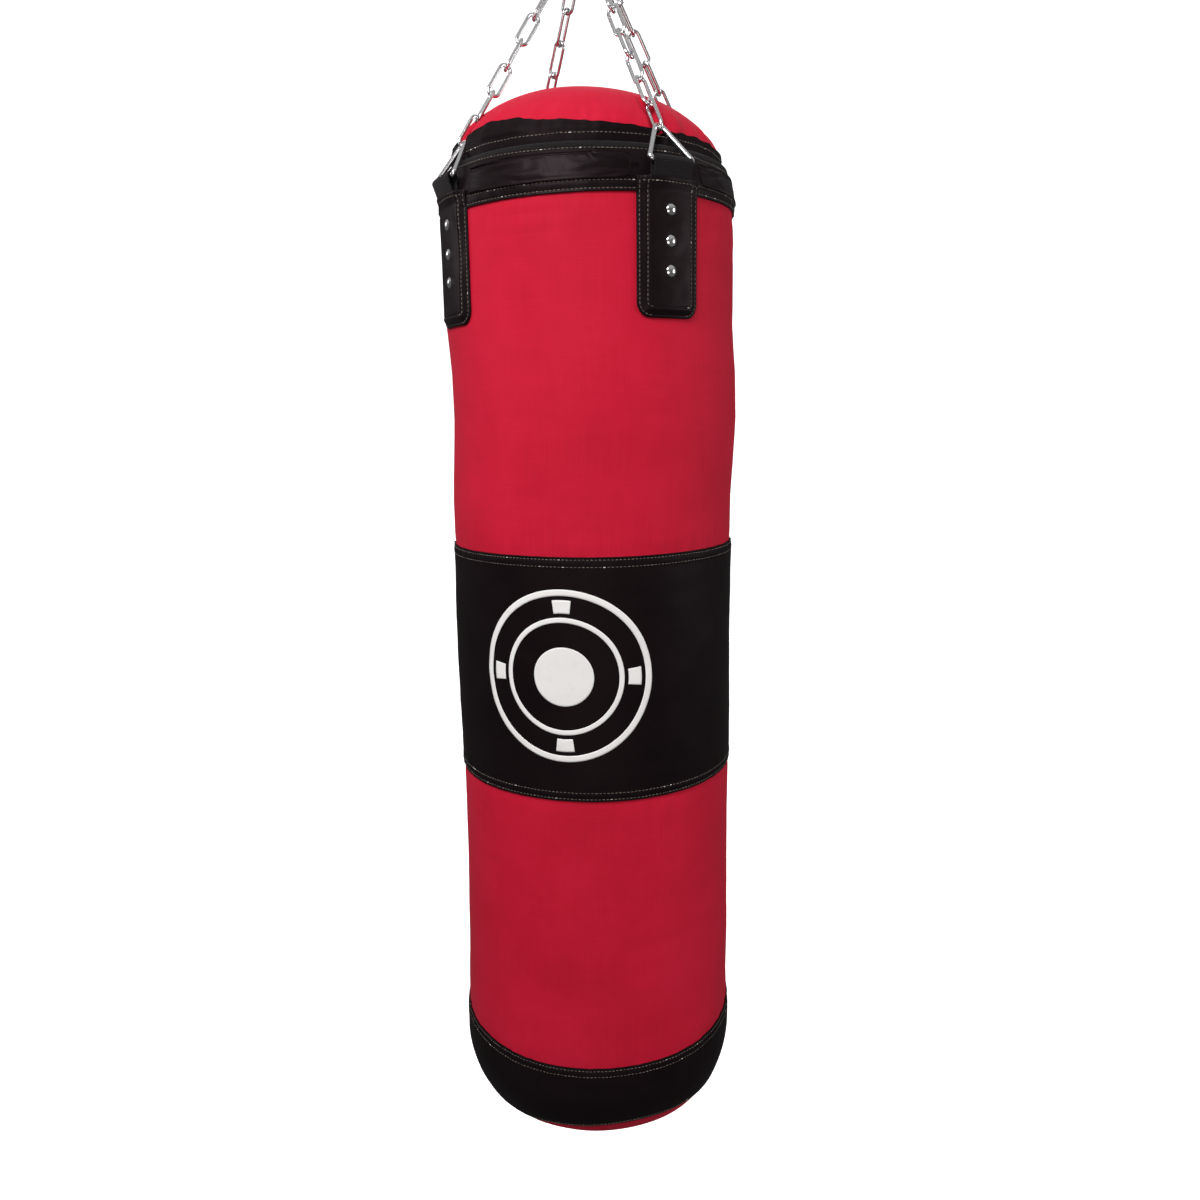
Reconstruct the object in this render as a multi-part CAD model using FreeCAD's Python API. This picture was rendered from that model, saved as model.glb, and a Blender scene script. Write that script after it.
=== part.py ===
"""Hanging punching bag: canvas cover with leatherette bands, four riveted hanging straps, wire triangles,
four chain legs, a snap carabiner and a ball-bearing swivel.

Units are millimetres. The origin is the centre of the swivel's upper eye, by which the bag hangs.
+Z is up and the printed front of the bag faces -Y. The four straps sit at 45 degrees to X and Y.
Bag heights are measured from the bag's flat underside and moved down by BAG_BASE_Z at the end.
"""
import FreeCAD
import Part
import math
import os
from FreeCAD import Vector

# ---- driving dimensions: bag -------------------------------------------------------------------
BAG_HEIGHT = 1200.0
WALL_RADIUS = 166.0          # canvas, upper body
FOOT_SWELL = 5.0             # how much wider the settled filling makes the foot
SWELL_TOP_Z = 400.0          # the wall is straight above this and bulges gently below it
CANVAS = 1.5                 # canvas thickness
BAND = 1.5                   # leatherette thickness
LAYER_GAP = 0.1              # air between sewn layers
CORNER_HEIGHT = 71.0         # rounded bottom corner
CORNER_DEPTH = 47.0
SHOULDER_Z = 1073.0          # where the wall starts to curve in
SHOULDER_HEIGHT = 45.0
SHOULDER_DEPTH = 15.6
LID_RADIUS = 147.9
SKIRT_TOP_Z = 1139.5
SKIRT_ABOVE_TAPE = 0.8       # gap between the skirt's lower edge and the zip's tape
LID_EDGE_Z = 1135.0
SKIRT = 1.2

CANVAS_END_DEG = 54.0
TOP_BAND_LOW_Z = 1068.5
TOP_BAND_END_DEG = 60.0      # how far round the shoulder the top band reaches
MIDDLE_BAND_Z = (434.0, 706.0)
BOTTOM_BAND_TOP_Z = 106.0
BOTTOM_BAND_END_DEG = 55.0   # how far round the bottom corner the band reaches

LINER = 15.0                 # foam wall inside the canvas
LINER_TOP_Z = 1060.0
BASE_PAD = 20.0

# ---- driving dimensions: straps, rivets, triangles ---------------------------------------------
STRAP_AZIMUTHS = {"front_right": -45.0, "back_right": 45.0, "back_left": 135.0, "front_left": 225.0}
WEBBING = 1.2
WEBBING_WIDTH = 42.0
TAB = 1.5
TAB_WIDTH = 73.0
TAB_Z = (949.0, 1084.0)
TAB_CORNER = 15.0
RIVET_HEIGHTS = (1054.0, 1024.0, 995.0)
RIVET_SHANK = 2.0
RIVET_HEAD = 5.6
RIVET_DOME = 2.3
RIVET_BACK = 7.0
BAR_Z = 1099.35              # centre of the triangle's base bar
TRIANGLE_WIRE = 2.75         # radius
TRIANGLE_BASE = 54.0
TRIANGLE_HEIGHT = 46.0
TRIANGLE_FOOT_BEND = 3.5     # bend of the wire's centreline beside the base bar
TRIANGLE_PEAK_BEND = 6.0     # and at the top, where the chain's last link sits

# ---- driving dimensions: chain -----------------------------------------------------------------
CHAIN_WIRE = 2.0             # radius
LINK_INNER_LENGTH = 34.0
LINK_INNER_WIDTH = 8.0
END_LINK_INNER_WIDTH = 18.0
LINKS_PER_LEG = 7            # besides the wide end link
GROOVE = 11.0                # dent that a taut chain presses into the lid

# ---- driving dimensions: swivel and carabiner --------------------------------------------------
EYE_BORE = 8.0
EYE_RADIUS = 17.0
EYE_THICK = 11.0
EYE_CHAMFER = 1.0
HOUSING_RADIUS = 17.0
HOUSING_Z = (-50.0, -22.0)
HOUSING_BORE = 13.0
HOUSING_ROOF_Z = -26.0
STEM = 5.95
BALL = 2.0
BALL_PITCH = 9.4
BALL_COUNT = 10
SHANK_ROD = 4.25
SHANK_LOOP = 11.25           # centreline radius of the lower eye
SHANK_LOOP_Z = (-74.5, -70.5)
ROD = 4.0                    # carabiner rod radius
BEND_TOP = 13.0
BEND_BOTTOM = 22.0
BEND_SPACING = 50.0
CLEAR = 0.3                  # running gap between pieces that bear on each other
HOOK_CLEAR = 1.2             # gap between an end link and the carabiner's rod
ANCHOR_DEG = {"front_right": 11.0, "back_right": 29.0, "back_left": -11.0, "front_left": -29.0}

# ---- driving dimensions: zip -------------------------------------------------------------------
ZIP_RADIUS = 153.0
TAPE_RADII = (146.0, 158.5)
TAPE_Z = (1115.0, 1116.0)
TEETH_TOP_Z = 1118.1
TEETH_REACH = 2.6            # how far the teeth lie either side of the zip's line
ZIP_SLOT = 0.7               # half of the gap that the slider's post runs in
SLIDER_DEG = 65.0            # at rest, beside the back right strap
ZIP_TRAVEL_DEG = 300.0       # the rest of the rim is where the lid hinges open
SLIDER_WIDTH = 6.8
SLIDER_PLATE = 0.8
PULL_LENGTH = 24.0

# ---- worked-out places -------------------------------------------------------------------------
SWELL_RADIUS = ((SWELL_TOP_Z - CORNER_HEIGHT) ** 2 + FOOT_SWELL ** 2) / (2 * FOOT_SWELL)
PIVOT_Z = SHANK_LOOP_Z[0] - SHANK_LOOP                  # centre of the shank's lower arch
BEND_TOP_Z = PIVOT_Z + SHANK_ROD + CLEAR + ROD - BEND_TOP
BEND_BOTTOM_Z = BEND_TOP_Z - BEND_SPACING
HOOK_Z = BEND_BOTTOM_Z - BEND_BOTTOM                    # centre of the rod that carries the chains
PLY_IN = WALL_RADIUS + LAYER_GAP + BAND + CLEAR         # inner face of the webbing's inner ply
PLY_OUT = PLY_IN + WEBBING + LAYER_GAP
TAB_IN = PLY_OUT + WEBBING + LAYER_GAP
TUNNEL = 4.7                                            # inside radius of the webbing loop
TUNNEL_R = PLY_IN + WEBBING + TUNNEL
TUNNEL_Z = BAR_Z - 1.35
BAR_R = TUNNEL_R - 0.75
WIRE = 2 * CHAIN_WIRE
LINK_LENGTH = LINK_INNER_LENGTH + WIRE                  # between the centres of a link's end wires
CHAIN_LENGTH = (LINK_LENGTH + LINKS_PER_LEG * (LINK_LENGTH - WIRE - CLEAR)
                - (ROD + CHAIN_WIRE + HOOK_CLEAR) - (TRIANGLE_WIRE + CHAIN_WIRE + CLEAR))


def anchor(name):
    """Centre of the carabiner's rod where a chain leg hooks on."""
    a = math.radians(ANCHOR_DEG[name])
    return Vector(BEND_BOTTOM * math.sin(a), 0, BEND_BOTTOM_Z - BEND_BOTTOM * math.cos(a))


def radial(azimuth):
    a = math.radians(azimuth)
    return Vector(math.cos(a), math.sin(a), 0)


def mean_drop():
    """Height between the chain anchors and the triangles' bars, which sets how low the bag hangs."""
    reach = [BAR_R - anchor(n).dot(radial(a)) for n, a in STRAP_AZIMUTHS.items()]
    straight = CHAIN_LENGTH + TRIANGLE_HEIGHT
    return math.sqrt(straight ** 2 - (sum(reach) / len(reach)) ** 2)


MEAN_ANCHOR_Z = sum(anchor(n).z for n in STRAP_AZIMUTHS) / len(STRAP_AZIMUTHS)
BAG_BASE_Z = MEAN_ANCHOR_Z - mean_drop() - BAR_Z
AXIS = Vector(0, 0, 1)
ORIGIN = Vector(0, 0, 0)
PARTS = {}


# ---- helpers -----------------------------------------------------------------------------------
def keep(name, shape, on_bag=False):
    """Stores a node; a node that belongs to the bag is moved down to where the bag hangs."""
    shape = shape.copy()
    if on_bag:
        shape.translate(Vector(0, 0, BAG_BASE_Z))
    PARTS[name] = shape


def fused(shapes):
    solid = shapes[0].multiFuse(shapes[1:]) if len(shapes) > 1 else shapes[0]
    return solid.removeSplitter()


def spline(points):
    curve = Part.BSplineCurve()
    curve.interpolate([Vector(r, 0, z) for r, z in points])
    return curve.toShape()


def line(a, b):
    return Part.makeLine(Vector(a[0], 0, a[1]), Vector(b[0], 0, b[1]))


def revolve(edges, start=0.0, sweep=360.0):
    """Turns a closed outline of radius and height round Z."""
    face = Part.Face(Part.Wire(Part.__sortEdges__(edges)))
    solid = face.revolve(ORIGIN, AXIS, sweep)
    solid.rotate(ORIGIN, AXIS, start)
    return solid


def ring(inner, outer, low, high, start=0.0, sweep=360.0):
    points = [(inner, low), (outer, low), (outer, high), (inner, high), (inner, low)]
    return revolve([line(a, b) for a, b in zip(points, points[1:])], start, sweep)


def wall_radius(z):
    """Outer radius of the canvas: straight, then an arc down to the foot's swell."""
    if z >= SWELL_TOP_Z:
        return WALL_RADIUS
    return WALL_RADIUS + SWELL_RADIUS - math.sqrt(SWELL_RADIUS ** 2 - (SWELL_TOP_Z - z) ** 2)


def span(low, high, steps):
    return [low + (high - low) * i / steps for i in range(steps + 1)]


def wall(low, high, off=0.0):
    """Edges up the wall between two heights."""
    start, end = (wall_radius(low) + off, low), (wall_radius(high) + off, high)
    if low >= SWELL_TOP_Z:
        return [line(start, end)]
    split = min(high, SWELL_TOP_Z)
    halfway = (low + split) / 2
    points = [start, (wall_radius(halfway) + off, halfway), (wall_radius(split) + off, split)]
    bulge = Part.Arc(*[Vector(r, 0, z) for r, z in points]).toShape()
    return [bulge] if split == high else [bulge, line(points[2], end)]


def quarter(centre, across, up, from_deg, to_deg):
    """Edge along an ellipse: 0 degrees points outwards and 90 along its vertical half-axis."""
    turns = [math.radians(d) for d in span(from_deg, to_deg, 8)]
    return [spline([(centre[0] + across * math.cos(t), centre[1] + up * math.sin(t)) for t in turns])]


def corner(from_deg, to_deg, off=0.0):
    """Up the rounded bottom corner: 90 degrees at the flat underside, 0 where it meets the wall."""
    centre = (wall_radius(CORNER_HEIGHT) - CORNER_DEPTH, CORNER_HEIGHT)
    return quarter(centre, CORNER_DEPTH + off, -(CORNER_HEIGHT + off), from_deg, to_deg)


def shoulder(from_deg, to_deg, off=0.0):
    centre = (WALL_RADIUS - SHOULDER_DEPTH, SHOULDER_Z)
    return quarter(centre, SHOULDER_DEPTH + off, SHOULDER_HEIGHT + off, from_deg, to_deg)


def dome(from_deg, to_deg, off=0.0):
    base = SHOULDER_Z + SHOULDER_HEIGHT
    return quarter((0.0, base), LID_RADIUS + off, BAG_HEIGHT - base + off, from_deg, to_deg)


def ends(edges):
    """First and last point of a run of edges, as radius and height."""
    first, last = edges[0].valueAt(edges[0].FirstParameter), edges[-1].valueAt(edges[-1].LastParameter)
    return (first.x, first.z), (last.x, last.z)


def sheet(profile, inner, outer, start=0.0, sweep=360.0):
    """A sewn layer. profile takes an offset from the canvas and returns edges from bottom to top."""
    out, back = profile(outer), profile(inner)
    joins = [line(a, b) for a, b in zip(ends(out), ends(back))]
    return revolve(out + back + joins, start, sweep)


def rod(edges, radius):
    """A round rod along tangent lines and arcs."""
    pieces = []
    for edge in edges:
        begin = edge.valueAt(edge.FirstParameter)
        along = edge.tangentAt(edge.FirstParameter)
        disc = Part.Face(Part.Wire(Part.makeCircle(radius, begin, along)))
        if isinstance(edge.Curve, Part.Line):
            pieces.append(disc.extrude(edge.valueAt(edge.LastParameter) - begin))
        else:
            circle = edge.Curve
            turn = math.degrees(edge.LastParameter - edge.FirstParameter)
            pieces.append(disc.revolve(circle.Center, circle.Axis, turn))
    return fused(pieces)


def arc(centre, radius, from_deg, to_deg, normal=AXIS):
    return Part.makeCircle(radius, centre, normal, from_deg, to_deg)


def placed(shape, origin, x_axis, y_axis):
    """Moves a shape built at the origin so that its X and Y lie along the given directions."""
    z_axis = x_axis.cross(y_axis)
    matrix = FreeCAD.Matrix(x_axis.x, y_axis.x, z_axis.x, origin.x,
                            x_axis.y, y_axis.y, z_axis.y, origin.y,
                            x_axis.z, y_axis.z, z_axis.z, origin.z, 0, 0, 0, 1)
    moved = shape.copy()
    moved.Placement = FreeCAD.Placement(matrix)
    return moved


def unit(vector):
    return Vector(vector).normalize()


def group(shapes):
    return Part.makeCompound(shapes)


# ---- swivel ------------------------------------------------------------------------------------
def swivel_eye():
    """Forged eye and bearing cup in one piece; the eye's bore takes the ceiling bolt or hook."""
    half = EYE_THICK / 2
    disc = Part.makeCylinder(EYE_RADIUS, EYE_THICK, Vector(0, -half, 0), Vector(0, 1, 0))
    disc = disc.makeFillet(3.5, [e for e in disc.Edges if isinstance(e.Curve, Part.Circle)])
    neck = Part.makeCone(HOUSING_RADIUS - 3, 8.0, 14.0, Vector(0, 0, HOUSING_Z[1]))
    cup = Part.makeCylinder(HOUSING_RADIUS, HOUSING_Z[1] - HOUSING_Z[0], Vector(0, 0, HOUSING_Z[0]))
    top_edge = [e for e in cup.Edges if abs(e.CenterOfMass.z - HOUSING_Z[1]) < 0.01]
    cup = cup.makeFillet(3.0, top_edge)
    body = fused([disc, neck, cup])
    bore = Part.makeCylinder(EYE_BORE, 40, Vector(0, -20, 0), Vector(0, 1, 0))
    flare = [Part.makeCone(EYE_BORE + EYE_CHAMFER, EYE_BORE, EYE_CHAMFER, Vector(0, side * half, 0),
                           Vector(0, -side, 0)) for side in (-1, 1)]
    cavity = Part.makeCylinder(HOUSING_BORE, HOUSING_ROOF_Z - HOUSING_Z[0] + 1,
                               Vector(0, 0, HOUSING_Z[0] - 1))
    return body.cut(bore).cut(flare[0]).cut(flare[1]).cut(cavity)


def make_swivel():
    keep("swivel_eye", swivel_eye())
    keep("swivel_base_ring", ring(STEM + 0.35, HOUSING_BORE - 0.05, HOUSING_Z[0], HOUSING_Z[0] + 6))
    race = HOUSING_Z[0] + 6.1
    keep("bearing_race_lower", ring(STEM + 0.45, HOUSING_BORE - 0.5, race, race + 1.5))
    ball_z = race + 1.5 + BALL + 0.1
    balls = [Part.makeSphere(BALL, radial(360 * i / BALL_COUNT) * BALL_PITCH + Vector(0, 0, ball_z))
             for i in range(BALL_COUNT)]
    keep("bearing_balls", group(balls))
    upper = ball_z + BALL + 0.1
    keep("bearing_race_upper", ring(STEM + 0.05, HOUSING_BORE - 0.5, upper, upper + 1.5))
    nut_z = upper + 1.6
    corners = [radial(60 * i) * 10.2 + Vector(0, 0, nut_z) for i in range(7)]
    nut = Part.Face(Part.makePolygon(corners)).extrude(Vector(0, 0, 8))
    nut = nut.cut(Part.makeCylinder(STEM + 0.05, 20, Vector(0, 0, nut_z - 5)))
    keep("swivel_nut", nut)
    stem = Part.makeCylinder(STEM, HOUSING_ROOF_Z - 1.2 + 56, Vector(0, 0, -56))
    collar = Part.makeCylinder(9.0, 6.0, Vector(0, 0, -57))
    collar = collar.makeFillet(1.5, [collar.Edges[0], collar.Edges[2]])
    low, high = SHANK_LOOP_Z
    side = Vector(1, 0, 0)
    loop = rod([arc(Vector(0, 0, high), SHANK_LOOP, 0, 180, side),
                Part.makeLine(Vector(0, -SHANK_LOOP, high), Vector(0, -SHANK_LOOP, low)),
                arc(Vector(0, 0, low), SHANK_LOOP, 180, 360, side),
                Part.makeLine(Vector(0, SHANK_LOOP, low), Vector(0, SHANK_LOOP, high))], SHANK_ROD)
    keep("swivel_shank", fused([stem, collar, loop]))


# ---- carabiner: lies in the XZ plane, gate on the +X side ---------------------------------------
LEAN = math.asin((BEND_BOTTOM - BEND_TOP) / BEND_SPACING)     # slant of the straight sides
GATE_DIR = Vector(math.sin(LEAN), 0, -math.cos(LEAN))          # down along the gate
GATE_OUT = Vector(math.cos(LEAN), 0, math.sin(LEAN))           # outwards from the gate
GATE_TOP = Vector(0, 0, BEND_TOP_Z) + GATE_OUT * BEND_TOP
SIDE_LENGTH = BEND_SPACING * math.cos(LEAN)
GATE_PIN_AT = 7.0            # pin's distance down the side
GATE_SPAN = (2.5, 46.0)      # the gap in the rod that the gate fills
NOSE_TONGUE = 6.5


def gate_point(along, out=0.0, across=0.0):
    return GATE_TOP + GATE_DIR * along + GATE_OUT * out + Vector(0, across, 0)


def gate_block(along, out, across):
    """A box given by its ranges down the gate, out of it and across it."""
    box = Part.makeBox(along[1] - along[0], out[1] - out[0], across[1] - across[0])
    return placed(box, gate_point(along[0], out[0], across[1]), GATE_DIR, GATE_OUT)


def cross_pin(along, radius, half):
    return Part.makeCylinder(radius, 2 * half, gate_point(along, 0, -half), Vector(0, 1, 0))


def make_carabiner():
    top, bottom = Vector(0, 0, BEND_TOP_Z), Vector(0, 0, BEND_BOTTOM_Z)
    spine_out = Vector(-GATE_OUT.x, 0, GATE_OUT.z)
    spine_top, spine_bottom = top + spine_out * BEND_TOP, bottom + spine_out * BEND_BOTTOM
    bend_top = Part.Arc(top + GATE_OUT * BEND_TOP, top + Vector(0, 0, BEND_TOP), spine_top).toShape()
    bend_bottom = Part.Arc(spine_bottom, bottom - Vector(0, 0, BEND_BOTTOM),
                           bottom + GATE_OUT * BEND_BOTTOM).toShape()
    spine = Part.makeLine(spine_top, spine_bottom)
    stub_top = Part.makeLine(gate_point(0), gate_point(GATE_SPAN[0]))
    stub_low = Part.makeLine(gate_point(SIDE_LENGTH), gate_point(GATE_SPAN[1]))
    frame = rod([bend_top, spine, bend_bottom, stub_top, stub_low], ROD)
    hinge_tongue = gate_block((GATE_SPAN[0] - 1, GATE_PIN_AT), (-3.2, 3.2), (-1.5, 1.5))
    hinge_tongue = hinge_tongue.fuse(cross_pin(GATE_PIN_AT, 3.2, 1.5))
    tip = GATE_SPAN[1] - NOSE_TONGUE
    nose = gate_block((tip, GATE_SPAN[1] + 1), (-3.2, 3.2), (-1.5, 1.5))
    notch = gate_block((tip + 1.4, tip + 4.6), (-4, 1.6), (-2, 2))
    frame = fused([frame, hinge_tongue, nose]).cut(notch)
    keep("carabiner_body", frame.cut(cross_pin(GATE_PIN_AT, 1.55, 5)))
    keep("gate_pin", cross_pin(GATE_PIN_AT, 1.5, ROD - 0.1))

    start = GATE_PIN_AT - 3.9
    gate = Part.makeCylinder(ROD, GATE_SPAN[1] - 0.4 - start, gate_point(start), GATE_DIR)
    knuckle = cross_pin(GATE_PIN_AT, 3.9, 6).fuse(gate_block((GATE_PIN_AT, GATE_SPAN[1]), (-6, 6), (-6, 6)))
    gate = gate.common(knuckle)
    gate = gate.cut(gate_block((start - 1, GATE_PIN_AT + 4.6), (-6, 6), (-1.8, 1.8)))
    gate = gate.cut(gate_block((tip - 0.6, GATE_SPAN[1] + 1), (-6, 6), (-1.8, 1.8)))
    gate = gate.cut(cross_pin(GATE_PIN_AT, 1.6, 6))
    spring_from, spring_to = GATE_PIN_AT + 4.6, GATE_PIN_AT + 19
    gate = gate.cut(Part.makeCylinder(1.75, spring_to - spring_from + 1, gate_point(spring_from - 1),
                                      GATE_DIR))
    gate = gate.cut(cross_pin(tip + 3.0, 1.15, 6))
    keep("carabiner_gate", gate)
    keep("gate_nose_pin", cross_pin(tip + 3.0, 1.1, ROD - 0.4))
    plunger = Part.makeCylinder(1.4, 3.2, gate_point(GATE_PIN_AT + 3.6), GATE_DIR)
    keep("gate_plunger", plunger)
    coil = Part.makeHelix(1.5, spring_to - spring_from - 3.6, 1.2)
    wire = Part.Wire(Part.makeCircle(0.25, Vector(1.2, 0, 0), Vector(0, 1, 0.2)))
    spring = Part.Wire(coil.Edges).makePipeShell([wire], True, True)
    y_axis = Vector(0, 1, 0)
    keep("gate_spring", placed(spring, gate_point(spring_from + 2.7), y_axis.cross(GATE_DIR), y_axis))


# ---- chain legs --------------------------------------------------------------------------------
def link(inner_width):
    """A link lying along X in the XY plane, from the centre of its first end wire at the origin."""
    bend = inner_width / 2 + CHAIN_WIRE
    far = LINK_LENGTH - bend
    first, last = Vector(bend, 0, 0), Vector(far, 0, 0)
    return rod([arc(first, bend, 90, 270), Part.makeLine(Vector(bend, -bend, 0), Vector(far, -bend, 0)),
                arc(last, bend, -90, 90), Part.makeLine(Vector(far, bend, 0), Vector(bend, bend, 0))],
               CHAIN_WIRE)


def triangle():
    """A wire triangle in the XY plane, its base bar centred on the origin along Y, its apex along +X."""
    half = TRIANGLE_BASE / 2
    peak = TRIANGLE_HEIGHT
    for _ in range(20):      # the sharp apex lies beyond the rounded one, and moves as the sides lean
        sharp = math.atan2(half, peak)
        peak = TRIANGLE_HEIGHT + TRIANGLE_PEAK_BEND * (1 / math.sin(sharp) - 1)
    points = [Vector(0, -half, 0), Vector(peak, 0, 0), Vector(0, half, 0)]
    bends = [TRIANGLE_FOOT_BEND, TRIANGLE_PEAK_BEND, TRIANGLE_FOOT_BEND]
    edges, starts, stops = [], [], []
    for i, here in enumerate(points):
        before = unit(points[i - 1] - here)
        after = unit(points[(i + 1) % 3] - here)
        turn = before.getAngle(after) / 2
        reach = bends[i] / math.tan(turn)
        middle = here + unit(before + after) * (bends[i] / math.sin(turn) - bends[i])
        starts.append(here + before * reach)
        stops.append(here + after * reach)
        edges.append(Part.Arc(starts[i], middle, stops[i]).toShape())
    for i in range(3):
        edges.append(Part.makeLine(stops[i], starts[(i + 1) % 3]))
    return rod(edges, TRIANGLE_WIRE)


def leg_places(name):
    """Anchor on the carabiner, triangle apex and bar centre, and the bar's direction, in place."""
    out = radial(STRAP_AZIMUTHS[name])
    tangent = AXIS.cross(out)
    bar = out * BAR_R + Vector(0, 0, BAG_BASE_Z + BAR_Z)
    hook = anchor(name)
    rise = hook - bar
    rise = unit(rise - tangent * rise.dot(tangent))
    return hook, bar + rise * TRIANGLE_HEIGHT, bar, rise, tangent


def make_chain(name):
    hook, apex, bar, rise, tangent = leg_places(name)
    keep("triangle_" + name, placed(triangle(), bar, rise, tangent))
    down = unit(apex - hook)
    length = (apex - hook).Length
    play = (CHAIN_LENGTH - length) / LINKS_PER_LEG
    pitch = LINK_LENGTH - WIRE - CLEAR - play
    a = math.radians(ANCHOR_DEG[name])
    rod_along = Vector(math.cos(a), 0, math.sin(a))
    first_normal = unit(rod_along - down * rod_along.dot(down))
    last_normal = unit(tangent - down * tangent.dot(down))
    side = down.cross(last_normal)
    twist = math.degrees(math.atan2(first_normal.dot(side), first_normal.dot(last_normal)))
    quarter_turns = 90.0 * LINKS_PER_LEG
    extra = -(twist + quarter_turns) % 180.0
    if extra > 90.0:
        extra -= 180.0
    step = 90.0 + extra / LINKS_PER_LEG
    links = []
    for i in range(LINKS_PER_LEG + 1):
        angle = math.radians(twist + i * step)
        normal = last_normal * math.cos(angle) + side * math.sin(angle)
        start = hook + down * (i * pitch - ROD - CHAIN_WIRE - HOOK_CLEAR)
        width = END_LINK_INNER_WIDTH if i == 0 else LINK_INNER_WIDTH
        links.append(placed(link(width), start, down, normal.cross(down)))
    keep("end_link_" + name, links[0])
    keep("chain_" + name, group(links[1:]))


# ---- straps ------------------------------------------------------------------------------------
def webbing_loop():
    """The folded webbing as a sector round Z, centred on +X: two plies and the loop over the bar."""
    low = TAB_Z[0] + 8
    knee = TUNNEL_Z - 26
    top = (TUNNEL_R, TUNNEL_Z)
    outer, inner = TUNNEL + WEBBING, TUNNEL
    side = Vector(0, -1, 0)
    centre = Vector(top[0], 0, top[1])
    edges = [
        line((PLY_IN, low), (PLY_IN, TUNNEL_Z)),
        arc(centre, outer, 0, 180, side),
        line((TUNNEL_R + outer, TUNNEL_Z), (PLY_OUT + WEBBING, knee)),
        line((PLY_OUT + WEBBING, knee), (PLY_OUT + WEBBING, low)),
        line((PLY_OUT + WEBBING, low), (PLY_OUT, low)),
        line((PLY_OUT, low), (PLY_OUT, knee + 1)),
        line((PLY_OUT, knee + 1), (TUNNEL_R + inner, TUNNEL_Z)),
        arc(centre, inner, 0, 180, side),
        line((TUNNEL_R - inner, TUNNEL_Z), (TUNNEL_R - inner, low)),
        line((TUNNEL_R - inner, low), (PLY_IN, low)),
    ]
    sweep = math.degrees(WEBBING_WIDTH / PLY_IN)
    return revolve(edges, -sweep / 2, sweep)


def tab_sheet():
    """The leatherette tab, centred on +X, bulging over the webbing's loop at its top."""
    low, high = TAB_Z
    knee = TUNNEL_Z - 26.5
    lean = (TUNNEL_R + TUNNEL - PLY_OUT) / 25.0
    bulge = lean * (high - knee)
    points = [(TAB_IN, low), (TAB_IN + TAB, low), (TAB_IN + TAB, knee), (TAB_IN + TAB + bulge, high),
              (TAB_IN + bulge, high), (TAB_IN, knee)]
    skin = revolve([line(a, b) for a, b in zip(points, points[1:] + points[:1])], -20, 40)
    half = TAB_WIDTH / 2
    block = Part.makeBox(60, TAB_WIDTH, high - low + 40, Vector(TAB_IN - 20, -half, low))
    lower = [e for e in block.Edges
             if abs(e.CenterOfMass.z - low) < 0.01 and abs(abs(e.CenterOfMass.y) - half) < 0.01]
    return skin.common(block.makeFillet(TAB_CORNER, lower))


def rivet(z):
    """One solid rivet along +X: domed head, shank and back flange."""
    face_in = TAB_IN + TAB + 0.05
    back = WALL_RADIUS - CANVAS - 0.3
    bulb = (RIVET_HEAD ** 2 + RIVET_DOME ** 2) / (2 * RIVET_DOME)
    out = Vector(1, 0, 0)
    ball = Part.makeSphere(bulb, Vector(face_in + RIVET_DOME - bulb, 0, z))
    head = ball.common(Part.makeCylinder(RIVET_HEAD, RIVET_DOME + 1, Vector(face_in, 0, z), out))
    shank = Part.makeCylinder(RIVET_SHANK, face_in - back + 0.5, Vector(back, 0, z), out)
    flange = Part.makeCylinder(RIVET_BACK, 1.0, Vector(back - 1.0, 0, z), out)
    return fused([head, shank, flange])


def rivet_holes(radius, turn=0.0):
    """Cutters for one strap's rivets, through everything between the filling and the tab."""
    holes = fused([Part.makeCylinder(radius, 50, Vector(WALL_RADIUS - CANVAS - 2, 0, z), Vector(1, 0, 0))
                   for z in RIVET_HEIGHTS])
    holes.rotate(ORIGIN, AXIS, turn)
    return holes


def make_strap(name):
    turn = STRAP_AZIMUTHS[name]
    shapes = {
        "strap_webbing_": webbing_loop().cut(rivet_holes(RIVET_SHANK + 0.1)),
        "strap_tab_": tab_sheet().cut(rivet_holes(RIVET_SHANK + 0.1)),
        "rivets_": group([rivet(z) for z in RIVET_HEIGHTS]),
    }
    for prefix, shape in shapes.items():
        shape.rotate(ORIGIN, AXIS, turn)
        keep(prefix + name, shape, on_bag=True)


# ---- cover and filling -------------------------------------------------------------------------
def grooves(off):
    """The dents under the four taut chains, in bag heights, for a surface that lies off the lid's own."""
    cuts = []
    for name in STRAP_AZIMUTHS:
        hook, apex, _, _, _ = leg_places(name)
        lift = Vector(0, 0, -BAG_BASE_Z)
        along = hook - apex
        cuts.append(Part.makeCylinder(GROOVE - off, 90, apex + lift - unit(along) * 14, along))
    return cuts


def cap_solid(off, floor):
    """Everything under the lid's surface down to a floor height, dented by the chains."""
    top = dome(0, 90, off)
    rim, peak = ends(top)
    sides = [line(peak, (0, floor)), line((0, floor), (rim[0], floor)), line((rim[0], floor), rim)]
    solid = revolve(top + sides)
    for cut in grooves(off):
        solid = solid.cut(cut)
    return solid


def lid_layer(inner, outer, low, high):
    shell = cap_solid(outer, 1100.0).cut(cap_solid(inner, 1099.0))
    slab = Part.makeCylinder(300, high - low, Vector(0, 0, low))
    return shell.common(slab)


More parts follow.
